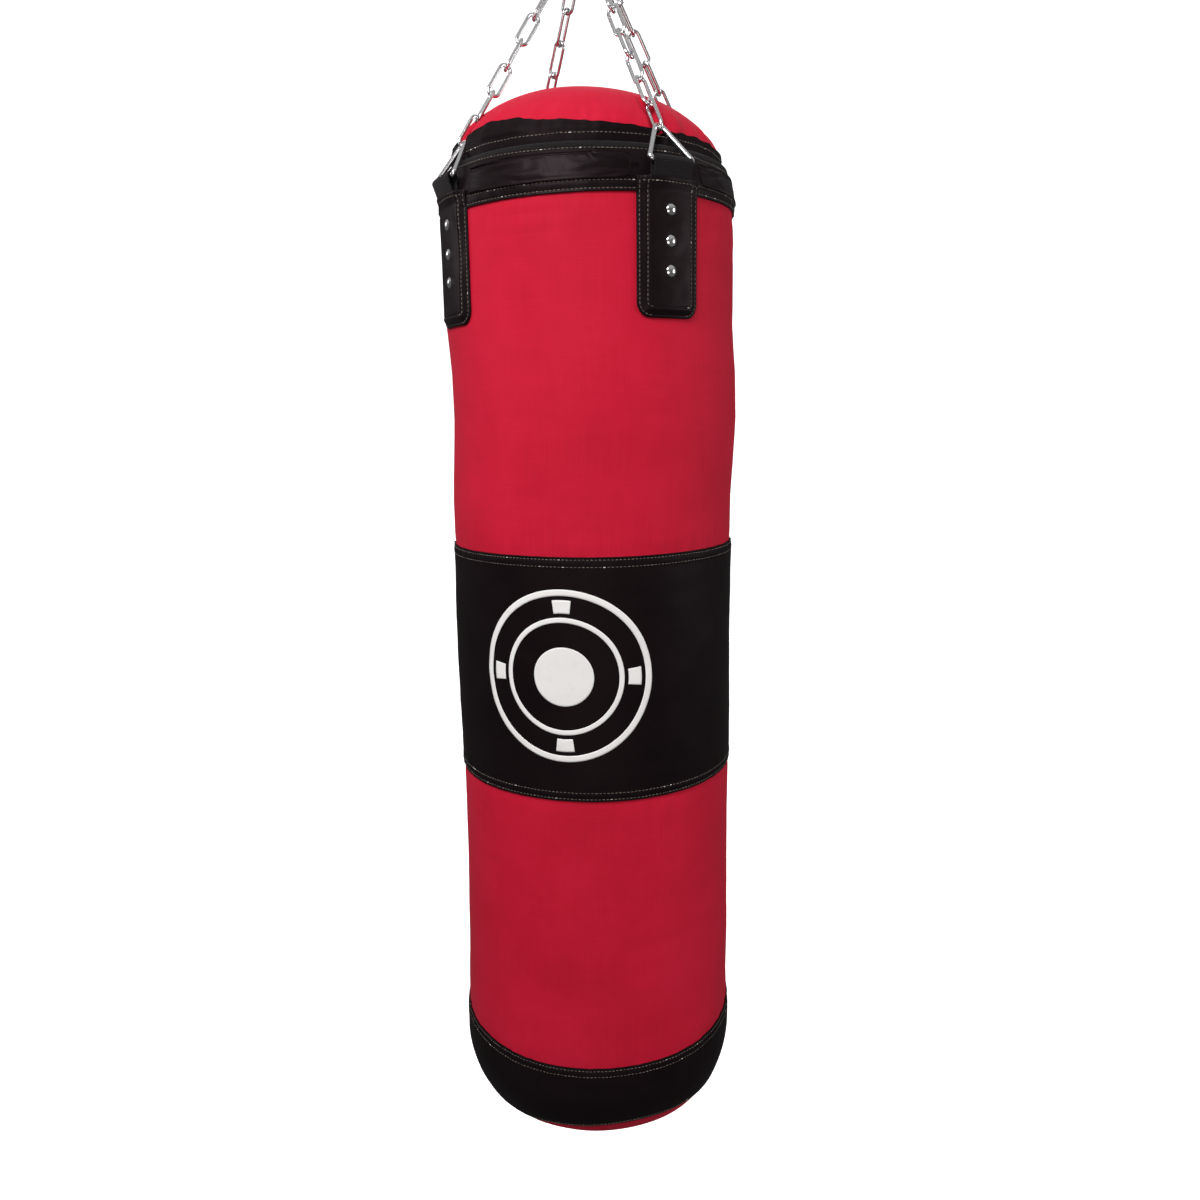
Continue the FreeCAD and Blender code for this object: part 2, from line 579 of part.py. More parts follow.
def make_cover():
    body = sheet(lambda off: corner(90, 0, off) + wall(CORNER_HEIGHT, SHOULDER_Z, off)
                 + shoulder(0, CANVAS_END_DEG, off), -CANVAS, 0.0)
    for turn in STRAP_AZIMUTHS.values():
        body = body.cut(rivet_holes(RIVET_SHANK + 0.1, turn))
    keep("cover_body", body, on_bag=True)
    base_radius = wall_radius(CORNER_HEIGHT) - CORNER_DEPTH - LAYER_GAP
    keep("cover_base", Part.makeCylinder(base_radius, CANVAS), on_bag=True)
    keep("lid_panel", lid_layer(-CANVAS, 0.0, LID_EDGE_Z, BAG_HEIGHT + 5), on_bag=True)
    skirt = lid_layer(LAYER_GAP, LAYER_GAP + SKIRT, TAPE_Z[1] + SKIRT_ABOVE_TAPE, SKIRT_TOP_Z)
    keep("lid_skirt", skirt, on_bag=True)
    bands = {
        "band_top": lambda off: wall(TOP_BAND_LOW_Z, SHOULDER_Z, off) + shoulder(0, TOP_BAND_END_DEG, off),
        "band_middle": lambda off: wall(*MIDDLE_BAND_Z, off),
        "band_bottom": lambda off: (corner(BOTTOM_BAND_END_DEG, 0, off)
                                    + wall(CORNER_HEIGHT, BOTTOM_BAND_TOP_Z, off)),
    }
    for name, profile in bands.items():
        keep(name, sheet(profile, LAYER_GAP, LAYER_GAP + BAND), on_bag=True)


def make_filling():
    skin = -CANVAS - CLEAR
    inner = skin - LINER
    liner = sheet(lambda off: wall(CORNER_HEIGHT, LINER_TOP_Z, off), inner, skin)
    for turn in STRAP_AZIMUTHS.values():
        liner = liner.cut(rivet_holes(RIVET_BACK + 0.5, turn))
    keep("foam_liner", liner, on_bag=True)
    pad_radius = wall_radius(CORNER_HEIGHT) - CORNER_DEPTH - 6
    pad = Part.makeCylinder(pad_radius, BASE_PAD, Vector(0, 0, CANVAS + CLEAR))
    keep("foam_base_pad", pad, on_bag=True)

    # the textile filling: inside the liner, then out to the shoulder, under the zip and up into the lid
    low = BASE_PAD + CANVAS + 1
    side = wall(CORNER_HEIGHT, LINER_TOP_Z, inner - CLEAR)
    foot, head = ends(side)
    neck = TAPE_RADII[0] - 3
    crown_off = skin - 0.4
    base = SHOULDER_Z + SHOULDER_HEIGHT
    turn = math.degrees(math.acos(neck / (LID_RADIUS + crown_off)))
    crown = dome(turn, 90, crown_off)
    rim, peak = ends(crown)
    points = [head, (neck, base - 12), rim]
    edges = side + crown + [line(a, b) for a, b in zip(points, points[1:])]
    points = [peak, (0, low), (pad_radius, low), foot]
    edges += [line(a, b) for a, b in zip(points, points[1:])]
    core = revolve(edges)
    for cut in grooves(crown_off):
        core = core.cut(cut)
    keep("textile_fill", core, on_bag=True)


# ---- zip ---------------------------------------------------------------------------------------
def make_zip():
    low, high = TAPE_Z
    inside, outside = ZIP_RADIUS - ZIP_SLOT, ZIP_RADIUS + ZIP_SLOT
    tooth = high + 0.05
    keep("zip_tape_outer", ring(outside, TAPE_RADII[1], low, high), on_bag=True)
    keep("zip_tape_inner", ring(TAPE_RADII[0], inside, low, high), on_bag=True)
    start, sweep = SLIDER_DEG - 8, ZIP_TRAVEL_DEG + 16
    rows = {"zip_teeth_outer": (outside, ZIP_RADIUS + TEETH_REACH),
            "zip_teeth_inner": (ZIP_RADIUS - TEETH_REACH, inside)}
    for name, radii in rows.items():
        keep(name, ring(*radii, tooth, TEETH_TOP_Z, start, sweep), on_bag=True)
    make_slider()


def slider_plate(low):
    half = SLIDER_WIDTH / 2
    plate = Part.makeBox(SLIDER_WIDTH, 11, SLIDER_PLATE, Vector(ZIP_RADIUS - half, -5.5, low))
    corners = [e for e in plate.Edges if abs(e.CenterOfMass.z - low - SLIDER_PLATE / 2) < 0.01]
    return plate.makeFillet(2.0, corners)


def make_slider():
    """Built on +X, then turned to its place: two plates joined by a post in the zip's slot, and a pull."""
    r = ZIP_RADIUS
    upper, lower = TEETH_TOP_Z + 0.25, TAPE_Z[0] - 0.25 - SLIDER_PLATE
    post = Part.makeBox(0.7, 3.0, upper - lower, Vector(r - 0.35, -1.5, lower + 0.2))
    lug_low = upper + SLIDER_PLATE - 0.2
    lugs = [Part.makeBox(0.8, 2.4, 1.5, Vector(r + side - 0.4, -1.2, lug_low)) for side in (-2.0, 2.0)]
    pin_z = lug_low + 0.8
    body = fused([slider_plate(upper), slider_plate(lower), post] + lugs)
    body = body.cut(Part.makeCylinder(0.4, 12, Vector(r - 6, 0, pin_z), Vector(1, 0, 0)))
    pin = Part.makeCylinder(0.35, 4.6, Vector(r - 2.3, 0, pin_z), Vector(1, 0, 0))
    tab = Part.makeBox(2.6, PULL_LENGTH, 0.6, Vector(r - 1.3, -0.35, pin_z - 0.3))
    tab = tab.cut(Part.makeCylinder(0.7, 5, Vector(r, PULL_LENGTH - 3, pin_z - 2)))
    tab.rotate(Vector(r, 0, 0), AXIS, math.degrees(PULL_LENGTH / 2 / r))
    for name, shape in (("zip_slider", body), ("zip_pull", fused([pin, tab]))):
        shape.rotate(ORIGIN, AXIS, SLIDER_DEG)
        keep(name, shape, on_bag=True)


# ---- print -------------------------------------------------------------------------------------
PRINT_AZIMUTH = -86.0
PRINT_Z = 576.0
PRINT_RINGS = ((88.0, 97.0), (58.0, 64.0), (0.0, 34.0))


def make_print():
    """A plain round target printed on the middle band, a thin layer that follows the band's surface."""
    low, high = LAYER_GAP + BAND + 0.05, LAYER_GAP + BAND + 0.35
    skin = sheet(lambda off: wall(PRINT_Z - 110, PRINT_Z + 110, off), low, high, -45, 90)
    rings = []
    for inner, outer in PRINT_RINGS:
        disc = Part.makeCylinder(outer, 80, Vector(110, 0, PRINT_Z), Vector(1, 0, 0))
        if inner:
            disc = disc.cut(Part.makeCylinder(inner, 90, Vector(105, 0, PRINT_Z), Vector(1, 0, 0)))
        rings.append(skin.common(disc))
    mark = group([s for shape in rings for s in shape.Solids])
    mark.rotate(ORIGIN, AXIS, PRINT_AZIMUTH)
    keep("target_print", mark, on_bag=True)


def main():
    make_swivel()
    make_carabiner()
    for name in STRAP_AZIMUTHS:
        make_chain(name)
        make_strap(name)
    make_cover()
    make_filling()
    make_zip()
    make_print()
    os.makedirs("parts", exist_ok=True)
    for name, shape in PARTS.items():
        solids = shape.Solids
        bad = [s for s in solids if not s.isValid() or s.Volume <= 0]
        print(f"{name}: {len(solids)} solids, {sum(s.Volume for s in solids):.1f} mm3"
              + (f", {len(bad)} BAD" if bad or not solids else ""))
        (solids[0] if len(solids) == 1 else Part.makeCompound(solids)).exportStep(f"parts/{name}.step")
    print(f"bag base z {BAG_BASE_Z:.2f}, hook z {HOOK_Z:.2f}, pivot z {PIVOT_Z:.2f}, "
          f"gate pin {tuple(round(c, 2) for c in gate_point(GATE_PIN_AT))}")


main()
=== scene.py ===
"""Hanging punching bag: the looks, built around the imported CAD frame.

Everything is in metres, in the frame's own axes. A place on the cover is given by an angle round the
bag, anticlockwise from +X, and a length s along the cover's outline from the middle of its underside.
"""
import math

import bpy
import numpy as np
from mathutils import Matrix, Vector


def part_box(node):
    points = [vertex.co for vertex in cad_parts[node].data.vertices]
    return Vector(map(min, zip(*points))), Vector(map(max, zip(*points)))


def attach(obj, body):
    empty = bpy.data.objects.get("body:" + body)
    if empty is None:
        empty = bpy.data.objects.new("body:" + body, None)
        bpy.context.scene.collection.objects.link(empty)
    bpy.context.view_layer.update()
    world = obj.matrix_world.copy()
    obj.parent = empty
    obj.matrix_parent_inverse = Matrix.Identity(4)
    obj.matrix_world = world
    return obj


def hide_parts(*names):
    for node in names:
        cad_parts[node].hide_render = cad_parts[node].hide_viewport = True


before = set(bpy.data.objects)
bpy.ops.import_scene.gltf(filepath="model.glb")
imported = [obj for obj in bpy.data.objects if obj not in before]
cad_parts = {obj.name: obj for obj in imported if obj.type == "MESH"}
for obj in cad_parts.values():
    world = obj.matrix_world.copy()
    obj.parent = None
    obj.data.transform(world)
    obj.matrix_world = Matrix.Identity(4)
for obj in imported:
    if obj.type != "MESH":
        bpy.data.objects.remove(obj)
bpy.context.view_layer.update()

MM = 0.001
TURN = 2 * math.pi

# ---- sizes read from the frame ----
LAYER = 1.6 * MM  # a band's outer face above the canvas
BASE_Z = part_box("cover_body")[0].z
FOOT_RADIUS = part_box("cover_body")[1].x
WALL_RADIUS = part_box("band_middle")[1].x - LAYER
BASE_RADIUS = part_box("cover_base")[1].x
CORNER_DEPTH = FOOT_RADIUS - BASE_RADIUS
LID_TOP_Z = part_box("lid_panel")[1].z
ZIP_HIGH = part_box("zip_teeth_outer")[1]
ZIP_RADIUS = ZIP_HIGH.x - 2.6 * MM  # the teeth reach this far past the zip's line
TAB_LOW_Z, TAB_TOP_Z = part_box("strap_tab_front_right")[0].z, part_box("strap_tab_front_right")[1].z

# ---- sizes of the sewn work ----
CORNER_HEIGHT = 71 * MM
SWELL_TOP = 400 * MM
SHOULDER_BASE = 1073 * MM
SHOULDER_HEIGHT = 45 * MM
SHOULDER_DEPTH = 15.6 * MM
LID_RADIUS = 147.9 * MM
LID_BASE = SHOULDER_BASE + SHOULDER_HEIGHT
STRAPS = {"front_right": -45.0, "back_right": 45.0, "back_left": 135.0, "front_left": 225.0}
TAB_WIDTH = 73 * MM
TAB_CORNER = 15 * MM
WEBBING_WIDTH = 42 * MM
RIVET_HEIGHTS = (1054 * MM, 1024 * MM, 995 * MM)
TOP_BAND_LOW = 1068.5 * MM
HEM = 11 * MM
EDGE_STITCH = 2.6 * MM
INNER_STITCH = 10.2 * MM
SKIRT_SEAM = 0.058  # the skirt's stitches, as a place on the dome
AROUND = 600  # columns round the bag
SEWN_AROUND = 1441  # points of a line of stitches round the bag
CLOTH_COLUMNS, CLOTH_ROWS = 480, 26  # the simulated band's mesh


# ---- noise and small maths ----
def smooth(t):
    t = np.clip(t, 0.0, 1.0)
    return t * t * (3 - 2 * t)


def bump(distance, width):
    return np.exp(-(distance / width) ** 2)


def polar(r, theta, z):
    """Points from a radius, an angle round the bag and a height."""
    return np.stack(np.broadcast_arrays(r * np.cos(theta), r * np.sin(theta), z), -1)


class Ripple:
    """Smooth noise from -1 to 1 over an angle, round which it closes, and a length."""

    def __init__(self, seed, cells, step, reach=1.8):
        rng = np.random.default_rng(seed)
        self.grid = rng.uniform(-1, 1, (cells, int(reach / step) + 4))
        self.step = step

    def __call__(self, theta, s):
        cells, rows = self.grid.shape
        a = (theta / TURN * cells) % cells
        b = np.clip(s / self.step + 1, 0, rows - 1.001)
        i, j = np.floor(a).astype(int) % cells, np.floor(b).astype(int)
        u, v = smooth(a - np.floor(a)), smooth(b - np.floor(b))
        n = (i + 1) % cells
        low = self.grid[i, j] * (1 - u) + self.grid[n, j] * u
        high = self.grid[i, j + 1] * (1 - u) + self.grid[n, j + 1] * u
        return low * (1 - v) + high * v


# ---- the cover's outline ----
def outline():
    """Radius and height above the base at close steps from the middle of the underside to the shoulder."""
    swell_radius = ((SWELL_TOP - CORNER_HEIGHT) ** 2 + (FOOT_RADIUS - WALL_RADIUS) ** 2) \
        / (2 * (FOOT_RADIUS - WALL_RADIUS))
    flat = [(r, 0.0) for r in np.linspace(0, BASE_RADIUS, 60, endpoint=False)]
    corner = [(BASE_RADIUS + CORNER_DEPTH * math.sin(t), CORNER_HEIGHT * (1 - math.cos(t)))
              for t in np.linspace(0, math.pi / 2, 200, endpoint=False)]
    bulge = [(WALL_RADIUS + swell_radius - math.sqrt(swell_radius ** 2 - (SWELL_TOP - z) ** 2), z)
             for z in np.linspace(CORNER_HEIGHT, SWELL_TOP, 200, endpoint=False)]
    straight = [(WALL_RADIUS, z) for z in np.linspace(SWELL_TOP, SHOULDER_BASE, 300, endpoint=False)]
    shoulder = [(WALL_RADIUS - SHOULDER_DEPTH * (1 - math.cos(t)),
                 SHOULDER_BASE + SHOULDER_HEIGHT * math.sin(t))
                for t in np.linspace(0, math.radians(80), 200)]
    return np.array(flat + corner + bulge + straight + shoulder)


LINE = outline()
LINE_S = np.concatenate([[0], np.cumsum(np.hypot(*np.diff(LINE, axis=0).T))])
SLOPE = np.gradient(LINE, LINE_S, axis=0)


def s_at(height):
    """Length along the outline at a height above the base, on the wall or shoulder."""
    up = LINE_S > BASE_RADIUS
    return float(np.interp(height, LINE[up, 1], LINE_S[up]))


S_END = s_at(SHOULDER_BASE + SHOULDER_HEIGHT * math.sin(math.radians(54)))
TOP_BAND = (s_at(TOP_BAND_LOW), s_at(SHOULDER_BASE + SHOULDER_HEIGHT * math.sin(math.radians(60))))
MIDDLE_BAND = (s_at(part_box("band_middle")[0].z - BASE_Z), s_at(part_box("band_middle")[1].z - BASE_Z))
BOTTOM_BAND = (s_at(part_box("band_bottom")[0].z - BASE_Z), s_at(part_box("band_bottom")[1].z - BASE_Z))
SEAMS = (BOTTOM_BAND[1], MIDDLE_BAND[0], MIDDLE_BAND[1], TOP_BAND[0])
TAB_LOW, TAB_TOP = TAB_LOW_Z - BASE_Z, TAB_TOP_Z - BASE_Z

# how far the settled filling pushes the cover sideways, at heights above the base
LEAN_HEIGHTS = np.array([0, 140, 200, 340, 560, 700, 760, 850, 900, 950]) * MM
LEAN_SHIFTS = np.array([-3.0, -2.6, 0.0, 1.8, 0.6, -0.4, -0.6, 3.6, 3.4, 0.0]) * MM
LEAN_WAY = np.array([math.cos(math.radians(15.5)), math.sin(math.radians(15.5)), 0.0])
FOOT_SAG = 8.0 * MM

BROAD = Ripple(11, 5, 260 * MM)
LUMPS = Ripple(12, 11, 120 * MM)
DIMPLES = Ripple(13, 24, 55 * MM)
WEFT = Ripple(14, 9, 16 * MM)
CREASES = Ripple(17, 14, 9 * MM)
SLACK = Ripple(31, 16, 34 * MM)
SLACK_FINE = Ripple(32, 40, 15 * MM)
BUCKLE = Ripple(33, 22, 12 * MM)
PUCKER = Ripple(15, 130, 30 * MM)
PUCKER_FINE = Ripple(16, 210, 22 * MM)
TAB_CRUMPLE = Ripple(61, 60, 22 * MM)


def angle_gap(theta, degrees):
    """Signed angle from a bearing in degrees, from minus to plus half a turn."""
    return (theta - math.radians(degrees) + math.pi) % TURN - math.pi


def strap_cover(theta, s):
    """1 under a strap, where the layers are clamped flat, fading to 0 about it."""
    share = np.zeros(np.broadcast(theta, s).shape)
    for bearing in STRAPS.values():
        across = np.abs(angle_gap(theta, bearing)) * WALL_RADIUS
        away = np.maximum(across - TAB_WIDTH / 2, 0) + np.maximum(s_at(TAB_LOW) - s, 0)
        share = np.maximum(share, 1 - smooth(away / (25 * MM)))
    return share


def swell(theta, s):
    """How far the stuffed cover stands out from its plain outline."""
    free = 1 - strap_cover(theta, s)
    out = (1.5 * BROAD(theta, s) + 1.0 * LUMPS(theta, s) + 0.45 * DIMPLES(theta, s)) * free
    under_band = smooth((TOP_BAND[0] - s) / (6 * MM)) * smooth((s - TOP_BAND[0] + 90 * MM) / (80 * MM))
    out += 0.55 * under_band * free * CREASES(theta + 0.5 * LUMPS(theta, s), s)
    out += 0.16 * WEFT(theta + 0.4 * s, s)
    for seam in SEAMS:
        near = np.abs(s - seam)
        out -= 0.9 * bump(near, 9 * MM) * (0.3 + 0.7 * free)
        out += 0.55 * bump(near, 22 * MM) * PUCKER(theta, s) * free
        out += 0.3 * bump(near, 12 * MM) * PUCKER_FINE(theta, s) * free
    return out * MM * smooth(s / BASE_RADIUS)


def cover_normal(theta, s):
    """Outward direction of the plain outline."""
    rise, reach = np.interp(s, LINE_S, SLOPE[:, 1]), np.interp(s, LINE_S, SLOPE[:, 0])
    length = np.hypot(rise, reach)
    return polar(rise / length, theta, -reach / length)


def cover_point(theta, s, off=0.0):
    """A point on the cover, lifted off the canvas by off."""
    theta, s = np.broadcast_arrays(theta, s)
    r, z = np.interp(s, LINE_S, LINE[:, 0]), np.interp(s, LINE_S, LINE[:, 1])
    shift = np.interp(z, LEAN_HEIGHTS, LEAN_SHIFTS)
    sag = FOOT_SAG * (1 - smooth((s - 0.8 * BASE_RADIUS) / (110 * MM)))
    plain = polar(r, theta, BASE_Z + z - sag) + shift[..., None] * LEAN_WAY
    return plain + cover_normal(theta, s) * (swell(theta, s) + off)[..., None]


# ---- meshes ----
def new_mesh(name, verts, faces, uvs=None):
    mesh = bpy.data.meshes.new(name)
    mesh.from_pydata(np.asarray(verts).reshape(-1, 3).tolist(), [], faces)
    if uvs is not None:
        layer = mesh.uv_layers.new(name="UVMap")
        layer.data.foreach_set("uv", np.asarray(uvs, np.float32).ravel())
    mesh.update()
    piece = bpy.data.objects.new(name, mesh)
    bpy.context.scene.collection.objects.link(piece)
    mesh.polygons.foreach_set("use_smooth", [True] * len(mesh.polygons))
    return piece


def grid(name, points, u, v, ring=False, tube=False, pole=False):
    """A mesh over a grid of points, columns by rows. ring closes the columns, tube closes the rows, and
    pole gathers the first row into one point. u and v are the grid's lengths, for the UVs."""
    columns, rows = points.shape[:2]
    i, j = np.meshgrid(np.arange(columns if ring else columns - 1), np.arange(rows if tube else rows - 1),
                       indexing="ij")
    i, j = i.ravel(), j.ravel()
    i2, j2 = (i + 1) % columns, (j + 1) % rows
    quads = np.stack([i * rows + j, i2 * rows + j, i2 * rows + j2, i * rows + j2], -1)
    u_step = u[1] - u[0]
    v_next = np.where(j2 > j, v[j2], v[j] + 0.002)
    uvs = np.stack([np.stack([u[i], v[j]], -1), np.stack([u[i] + u_step, v[j]], -1),
                    np.stack([u[i] + u_step, v_next], -1), np.stack([u[i], v_next], -1)], 1)
    verts = points.reshape(-1, 3)
    faces = quads.tolist()
    if pole:
        first = (j == 0)
        faces = [[0, q[2], q[3]] if edge else q for q, edge in zip(faces, first)]
        keep = np.ones((len(quads), 4), bool)
        keep[first, 1] = False
        uvs = uvs[keep]
        used = sorted({k for f in faces for k in f})
        index = {k: n for n, k in enumerate(used)}
        faces = [[index[k] for k in f] for f in faces]
        verts = verts[used]
    return new_mesh(name, verts, faces, uvs)


def stamp(name, template, faces, places, tones_and_glints=None):
    """One mesh of many copies of a small shape. places are (origin, x, y, z) arrays, one row each."""
    origin, x, y, z = places
    shape = np.asarray(template)
    verts = (origin[:, None] + shape[None, :, 0, None] * x[:, None] + shape[None, :, 1, None] * y[:, None]
             + shape[None, :, 2, None] * z[:, None])
    count = len(shape)
    every = [[k + n * count for k in f] for n in range(len(origin)) for f in faces]
    piece = new_mesh(name, verts.reshape(-1, 3), every)
    if tones_and_glints is not None:
        attribute = piece.data.attributes.new("tone", "FLOAT", "POINT")
        attribute.data.foreach_set("value", np.repeat(tones_and_glints, count).astype(np.float32))
    return piece


def capsule(length, radius, dip):
    """A stitch along X: a short thread whose ends dip into the cloth below."""
    rings = [(-0.5, 0.35, -dip), (-0.34, 0.9, -0.25 * dip), (0, 1, 0),
             (0.34, 0.9, -0.25 * dip), (0.5, 0.35, -dip)]
    sides = 6
    turns = [TURN * k / sides for k in range(sides)]
    verts = [(length * x, radius * size * math.cos(turn), drop + radius * size * math.sin(turn))
             for x, size, drop in rings for turn in turns]
    faces = []
    for first in range(0, (len(rings) - 1) * sides, sides):
        for k in range(sides):
            ahead = first + (k + 1) % sides
            faces.append([first + k, ahead, ahead + sides, first + sides + k])
    faces += [list(range(sides))[::-1], list(range(len(verts) - sides, len(verts)))]
    return verts, faces


STITCH = capsule(3.4 * MM, 0.42 * MM, 0.5 * MM)
THREAD_RNG = np.random.default_rng(21)


def sew(name, line, normals, pitch=4.4 * MM):
    """Stitches along a line of points, with a normal for each. Each stitch gets a random dull thread tone,
    and a few get a near-white tone that is a painted highlight.
    """
    length = np.concatenate([[0], np.cumsum(np.linalg.norm(np.diff(line, axis=0), axis=1))])
    count = max(2, int(length[-1] / pitch))
    at = (np.arange(count) + 0.5) * length[-1] / count

    def along(values):
        return np.stack([np.interp(at, length, values[:, k]) for k in range(3)], -1)

    origin, up = along(line), along(normals)
    ahead = np.gradient(line, length, axis=0)
    x = along(ahead)
    z = up - x * (np.sum(up * x, 1) / np.sum(x * x, 1))[:, None]
    x /= np.linalg.norm(x, axis=1)[:, None]
    z /= np.linalg.norm(z, axis=1)[:, None]
    y = np.cross(z, x)
    skew = THREAD_RNG.normal(0, 0.05, count)[:, None]
    x = x + y * skew
    # A few stitches, picked at random, get a near-white tone: a painted highlight standing in for glints of
    # light on the thread. The rest get the thread's own dull random tone.
    painted_glint = THREAD_RNG.random(count) < 0.035
    tones_and_glints = np.where(painted_glint, THREAD_RNG.uniform(0.7, 1.0, count), THREAD_RNG.uniform(0.0, 0.4, count))
    piece = stamp(name, *STITCH, (origin + z * 0.1 * MM, x, y, z), tones_and_glints)
    finish_piece(piece, "thread")


def solidify(piece, thickness, offset=-1.0):
    modifier = piece.modifiers.new("thickness", "SOLIDIFY")
    modifier.thickness, modifier.offset = thickness, offset
    modifier.use_even_offset = False


def finish_piece(piece, material, stands_for=()):
    piece.data.materials.clear()
    piece.data.materials.append(MATERIALS[material])
    if stands_for:
        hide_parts(*stands_for)
    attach(piece, "bag")


# ---- materials ----
class Shader:
    """A Principled material and short ways to add nodes to it."""

    def __init__(self, name, **sockets):
        self.material = bpy.data.materials.new(name)
        self.material.use_nodes = True
        self.tree = self.material.node_tree
        self.bsdf = next(n for n in self.tree.nodes if n.type == "BSDF_PRINCIPLED")
        self.fill(self.bsdf, sockets)
        self.relief = None

    def fill(self, node, sockets):
        for key, value in sockets.items():
            socket = node.inputs[key.replace("_", " ")] if isinstance(key, str) else node.inputs[key]
            if isinstance(value, bpy.types.NodeSocket):
                self.tree.links.new(value, socket)
            else:
                socket.default_value = value

    def node(self, kind, settings=None, inputs=None):
        made = self.tree.nodes.new("ShaderNode" + kind)
        for key, value in (settings or {}).items():
            setattr(made, key, value)
        self.fill(made, inputs or {})
        return made

    def math(self, operation, a, b=0.0):
        return self.node("Math", {"operation": operation}, {0: a, 1: b}).outputs[0]

    def wave(self, value, pitch):
        """Ridges one pitch apart."""
        return self.math("SINE", self.math("MULTIPLY", value, TURN / pitch))

    def uv(self, scale=(1, 1, 1), kind="UV"):
        place = self.node("TexCoord").outputs[kind]
        return self.node("Mapping", None, {"Vector": place, "Scale": scale}).outputs[0]

    def space(self, scale=(1, 1, 1)):
        return self.uv(scale, "Object")

    def noise(self, vector, scale, detail=3.0, roughness=0.55):
        return self.node("TexNoise", None, {"Vector": vector, "Scale": scale, "Detail": detail,
                                            "Roughness": roughness}).outputs["Fac"]

    def cells(self, vector, scale, feature="DISTANCE_TO_EDGE"):
        made = self.node("TexVoronoi", {"feature": feature}, {"Vector": vector, "Scale": scale})
        return made.outputs["Distance"]

    def blend(self, a, b, share=0.5):
        """A mix of two values."""
        return self.math("ADD", self.math("MULTIPLY", a, 1 - share), self.math("MULTIPLY", b, share))

    def ramp(self, value, stops):
        made = self.node("ValToRGB", None, {"Fac": value})
        band = made.color_ramp
        while len(band.elements) < len(stops):
            band.elements.new(0.5)
        for element, (place, color) in zip(band.elements, stops):
            element.position = place
            element.color = (*color, 1.0)
        return made.outputs["Color"]

    def span(self, value, low, high):
        """A value from 0 to 1 as one from low to high."""
        return self.node("MapRange", None, {"Value": value, "To Min": low, "To Max": high}).outputs[0]

    def emboss(self, height, strength, distance):
        sockets = {"Height": height, "Strength": strength, "Distance": distance}
        if self.relief is not None:
            sockets["Normal"] = self.relief
        self.relief = self.node("Bump", None, sockets).outputs["Normal"]
        self.fill(self.bsdf, {"Normal": self.relief})

    def paint(self, color, **more):
        self.fill(self.bsdf, {"Base Color": color, **more})


def canvas():
    made = Shader("red_canvas", Roughness=0.75, Sheen_Weight=0.08, Sheen_Roughness=0.4,
                  Sheen_Tint=(1.0, 0.25, 0.35, 1.0), Specular_IOR_Level=0.12)
    across, along = made.node("SeparateXYZ", None, {0: made.uv()}).outputs[:2]
    weave = made.math("MULTIPLY", made.wave(across, 1.5 * MM), made.wave(along, 1.5 * MM))
    slub_across = made.noise(made.uv((14, 900, 1)), 1.0, 2.0)
    slub_down = made.noise(made.uv((900, 12, 1)), 1.0, 2.0)
    slubs = made.math("ADD", slub_across, slub_down)
    mottle = made.noise(made.uv(), 9.0, 5.0, 0.6)
    dirt = made.noise(made.uv(), 38.0, 4.0, 0.65)
    tone = made.math("ADD", made.math("MULTIPLY", mottle, 0.55), made.math("MULTIPLY", slubs, 0.22))
    color = made.ramp(tone, [(0.30, (0.50, 0.006, 0.026)), (0.52, (0.60, 0.010, 0.038)),
                             (0.74, (0.67, 0.015, 0.050))])
    dulled = made.node("Mix", {"data_type": "RGBA", "blend_type": "MULTIPLY"},
                       {0: made.span(dirt, -0.12, 0.22), 6: color, 7: (0.72, 0.70, 0.70, 1.0)})
    made.paint(dulled.outputs[2], Roughness=made.span(mottle, 0.64, 0.80))
    made.emboss(weave, 0.35, 0.10 * MM)
    made.emboss(slubs, 0.30, 0.18 * MM)
    return made.material


def leatherette(name, low, high, rough, grain, crease, shine):
    made = Shader(name, Roughness=0.4, Specular_IOR_Level=shine, Specular_Tint=(1.0, 0.84, 0.90, 1.0))
    place = made.uv()
    pores = made.cells(place, grain)
    wrinkles = made.noise(made.uv((1.0, 1.8, 1)), 60.0, 5.0, 0.62)
    patches = made.noise(place, 14.0, 4.0, 0.6)
    scuffs = made.noise(made.uv((1.0, 3.0, 1)), 170.0, 3.0, 0.7)
    tone = made.blend(patches, scuffs, 0.4)
    made.paint(made.ramp(tone, [(0.32, low), (0.66, high)]), Roughness=made.span(tone, *rough))
    made.emboss(made.math("MINIMUM", pores, 0.28), 0.45, 0.22 * MM)
    made.emboss(wrinkles, crease, 0.8 * MM)
    return made.material


def thread():
    made = Shader("stitch_thread", Roughness=0.75, Sheen_Weight=0.2, Sheen_Roughness=0.5)
    tone = made.node("Attribute", {"attribute_name": "tone"}).outputs["Fac"]
    # The near-white top stop is a painted highlight for the few glinting stitches. The lower stops are the
    # thread's own dull colour.
    color = made.ramp(tone, [(0.0, (0.085, 0.070, 0.055)), (0.4, (0.20, 0.175, 0.145)),
                             (1.0, (0.85, 0.83, 0.78))])
    made.paint(color)
    made.emboss(made.noise(made.space(), 2600.0, 2.0), 0.6, 0.12 * MM)
    return made.material


def woven(name, low, high, rib):
    """Webbing or tape: cross ribs with a fine twill between them."""
    made = Shader(name, Roughness=0.82, Sheen_Weight=0.05, Sheen_Roughness=0.5, Specular_IOR_Level=0.2)
    across, along = made.node("SeparateXYZ", None, {0: made.uv()}).outputs[:2]
    made.paint(made.ramp(made.noise(made.uv(), 420.0, 3.0), [(0.3, low), (0.75, high)]))
    made.emboss(made.wave(along, rib), 0.7, 0.25 * MM)
    made.emboss(made.wave(made.math("ADD", across, along), 0.8 * rib), 0.5, 0.15 * MM)
    return made.material


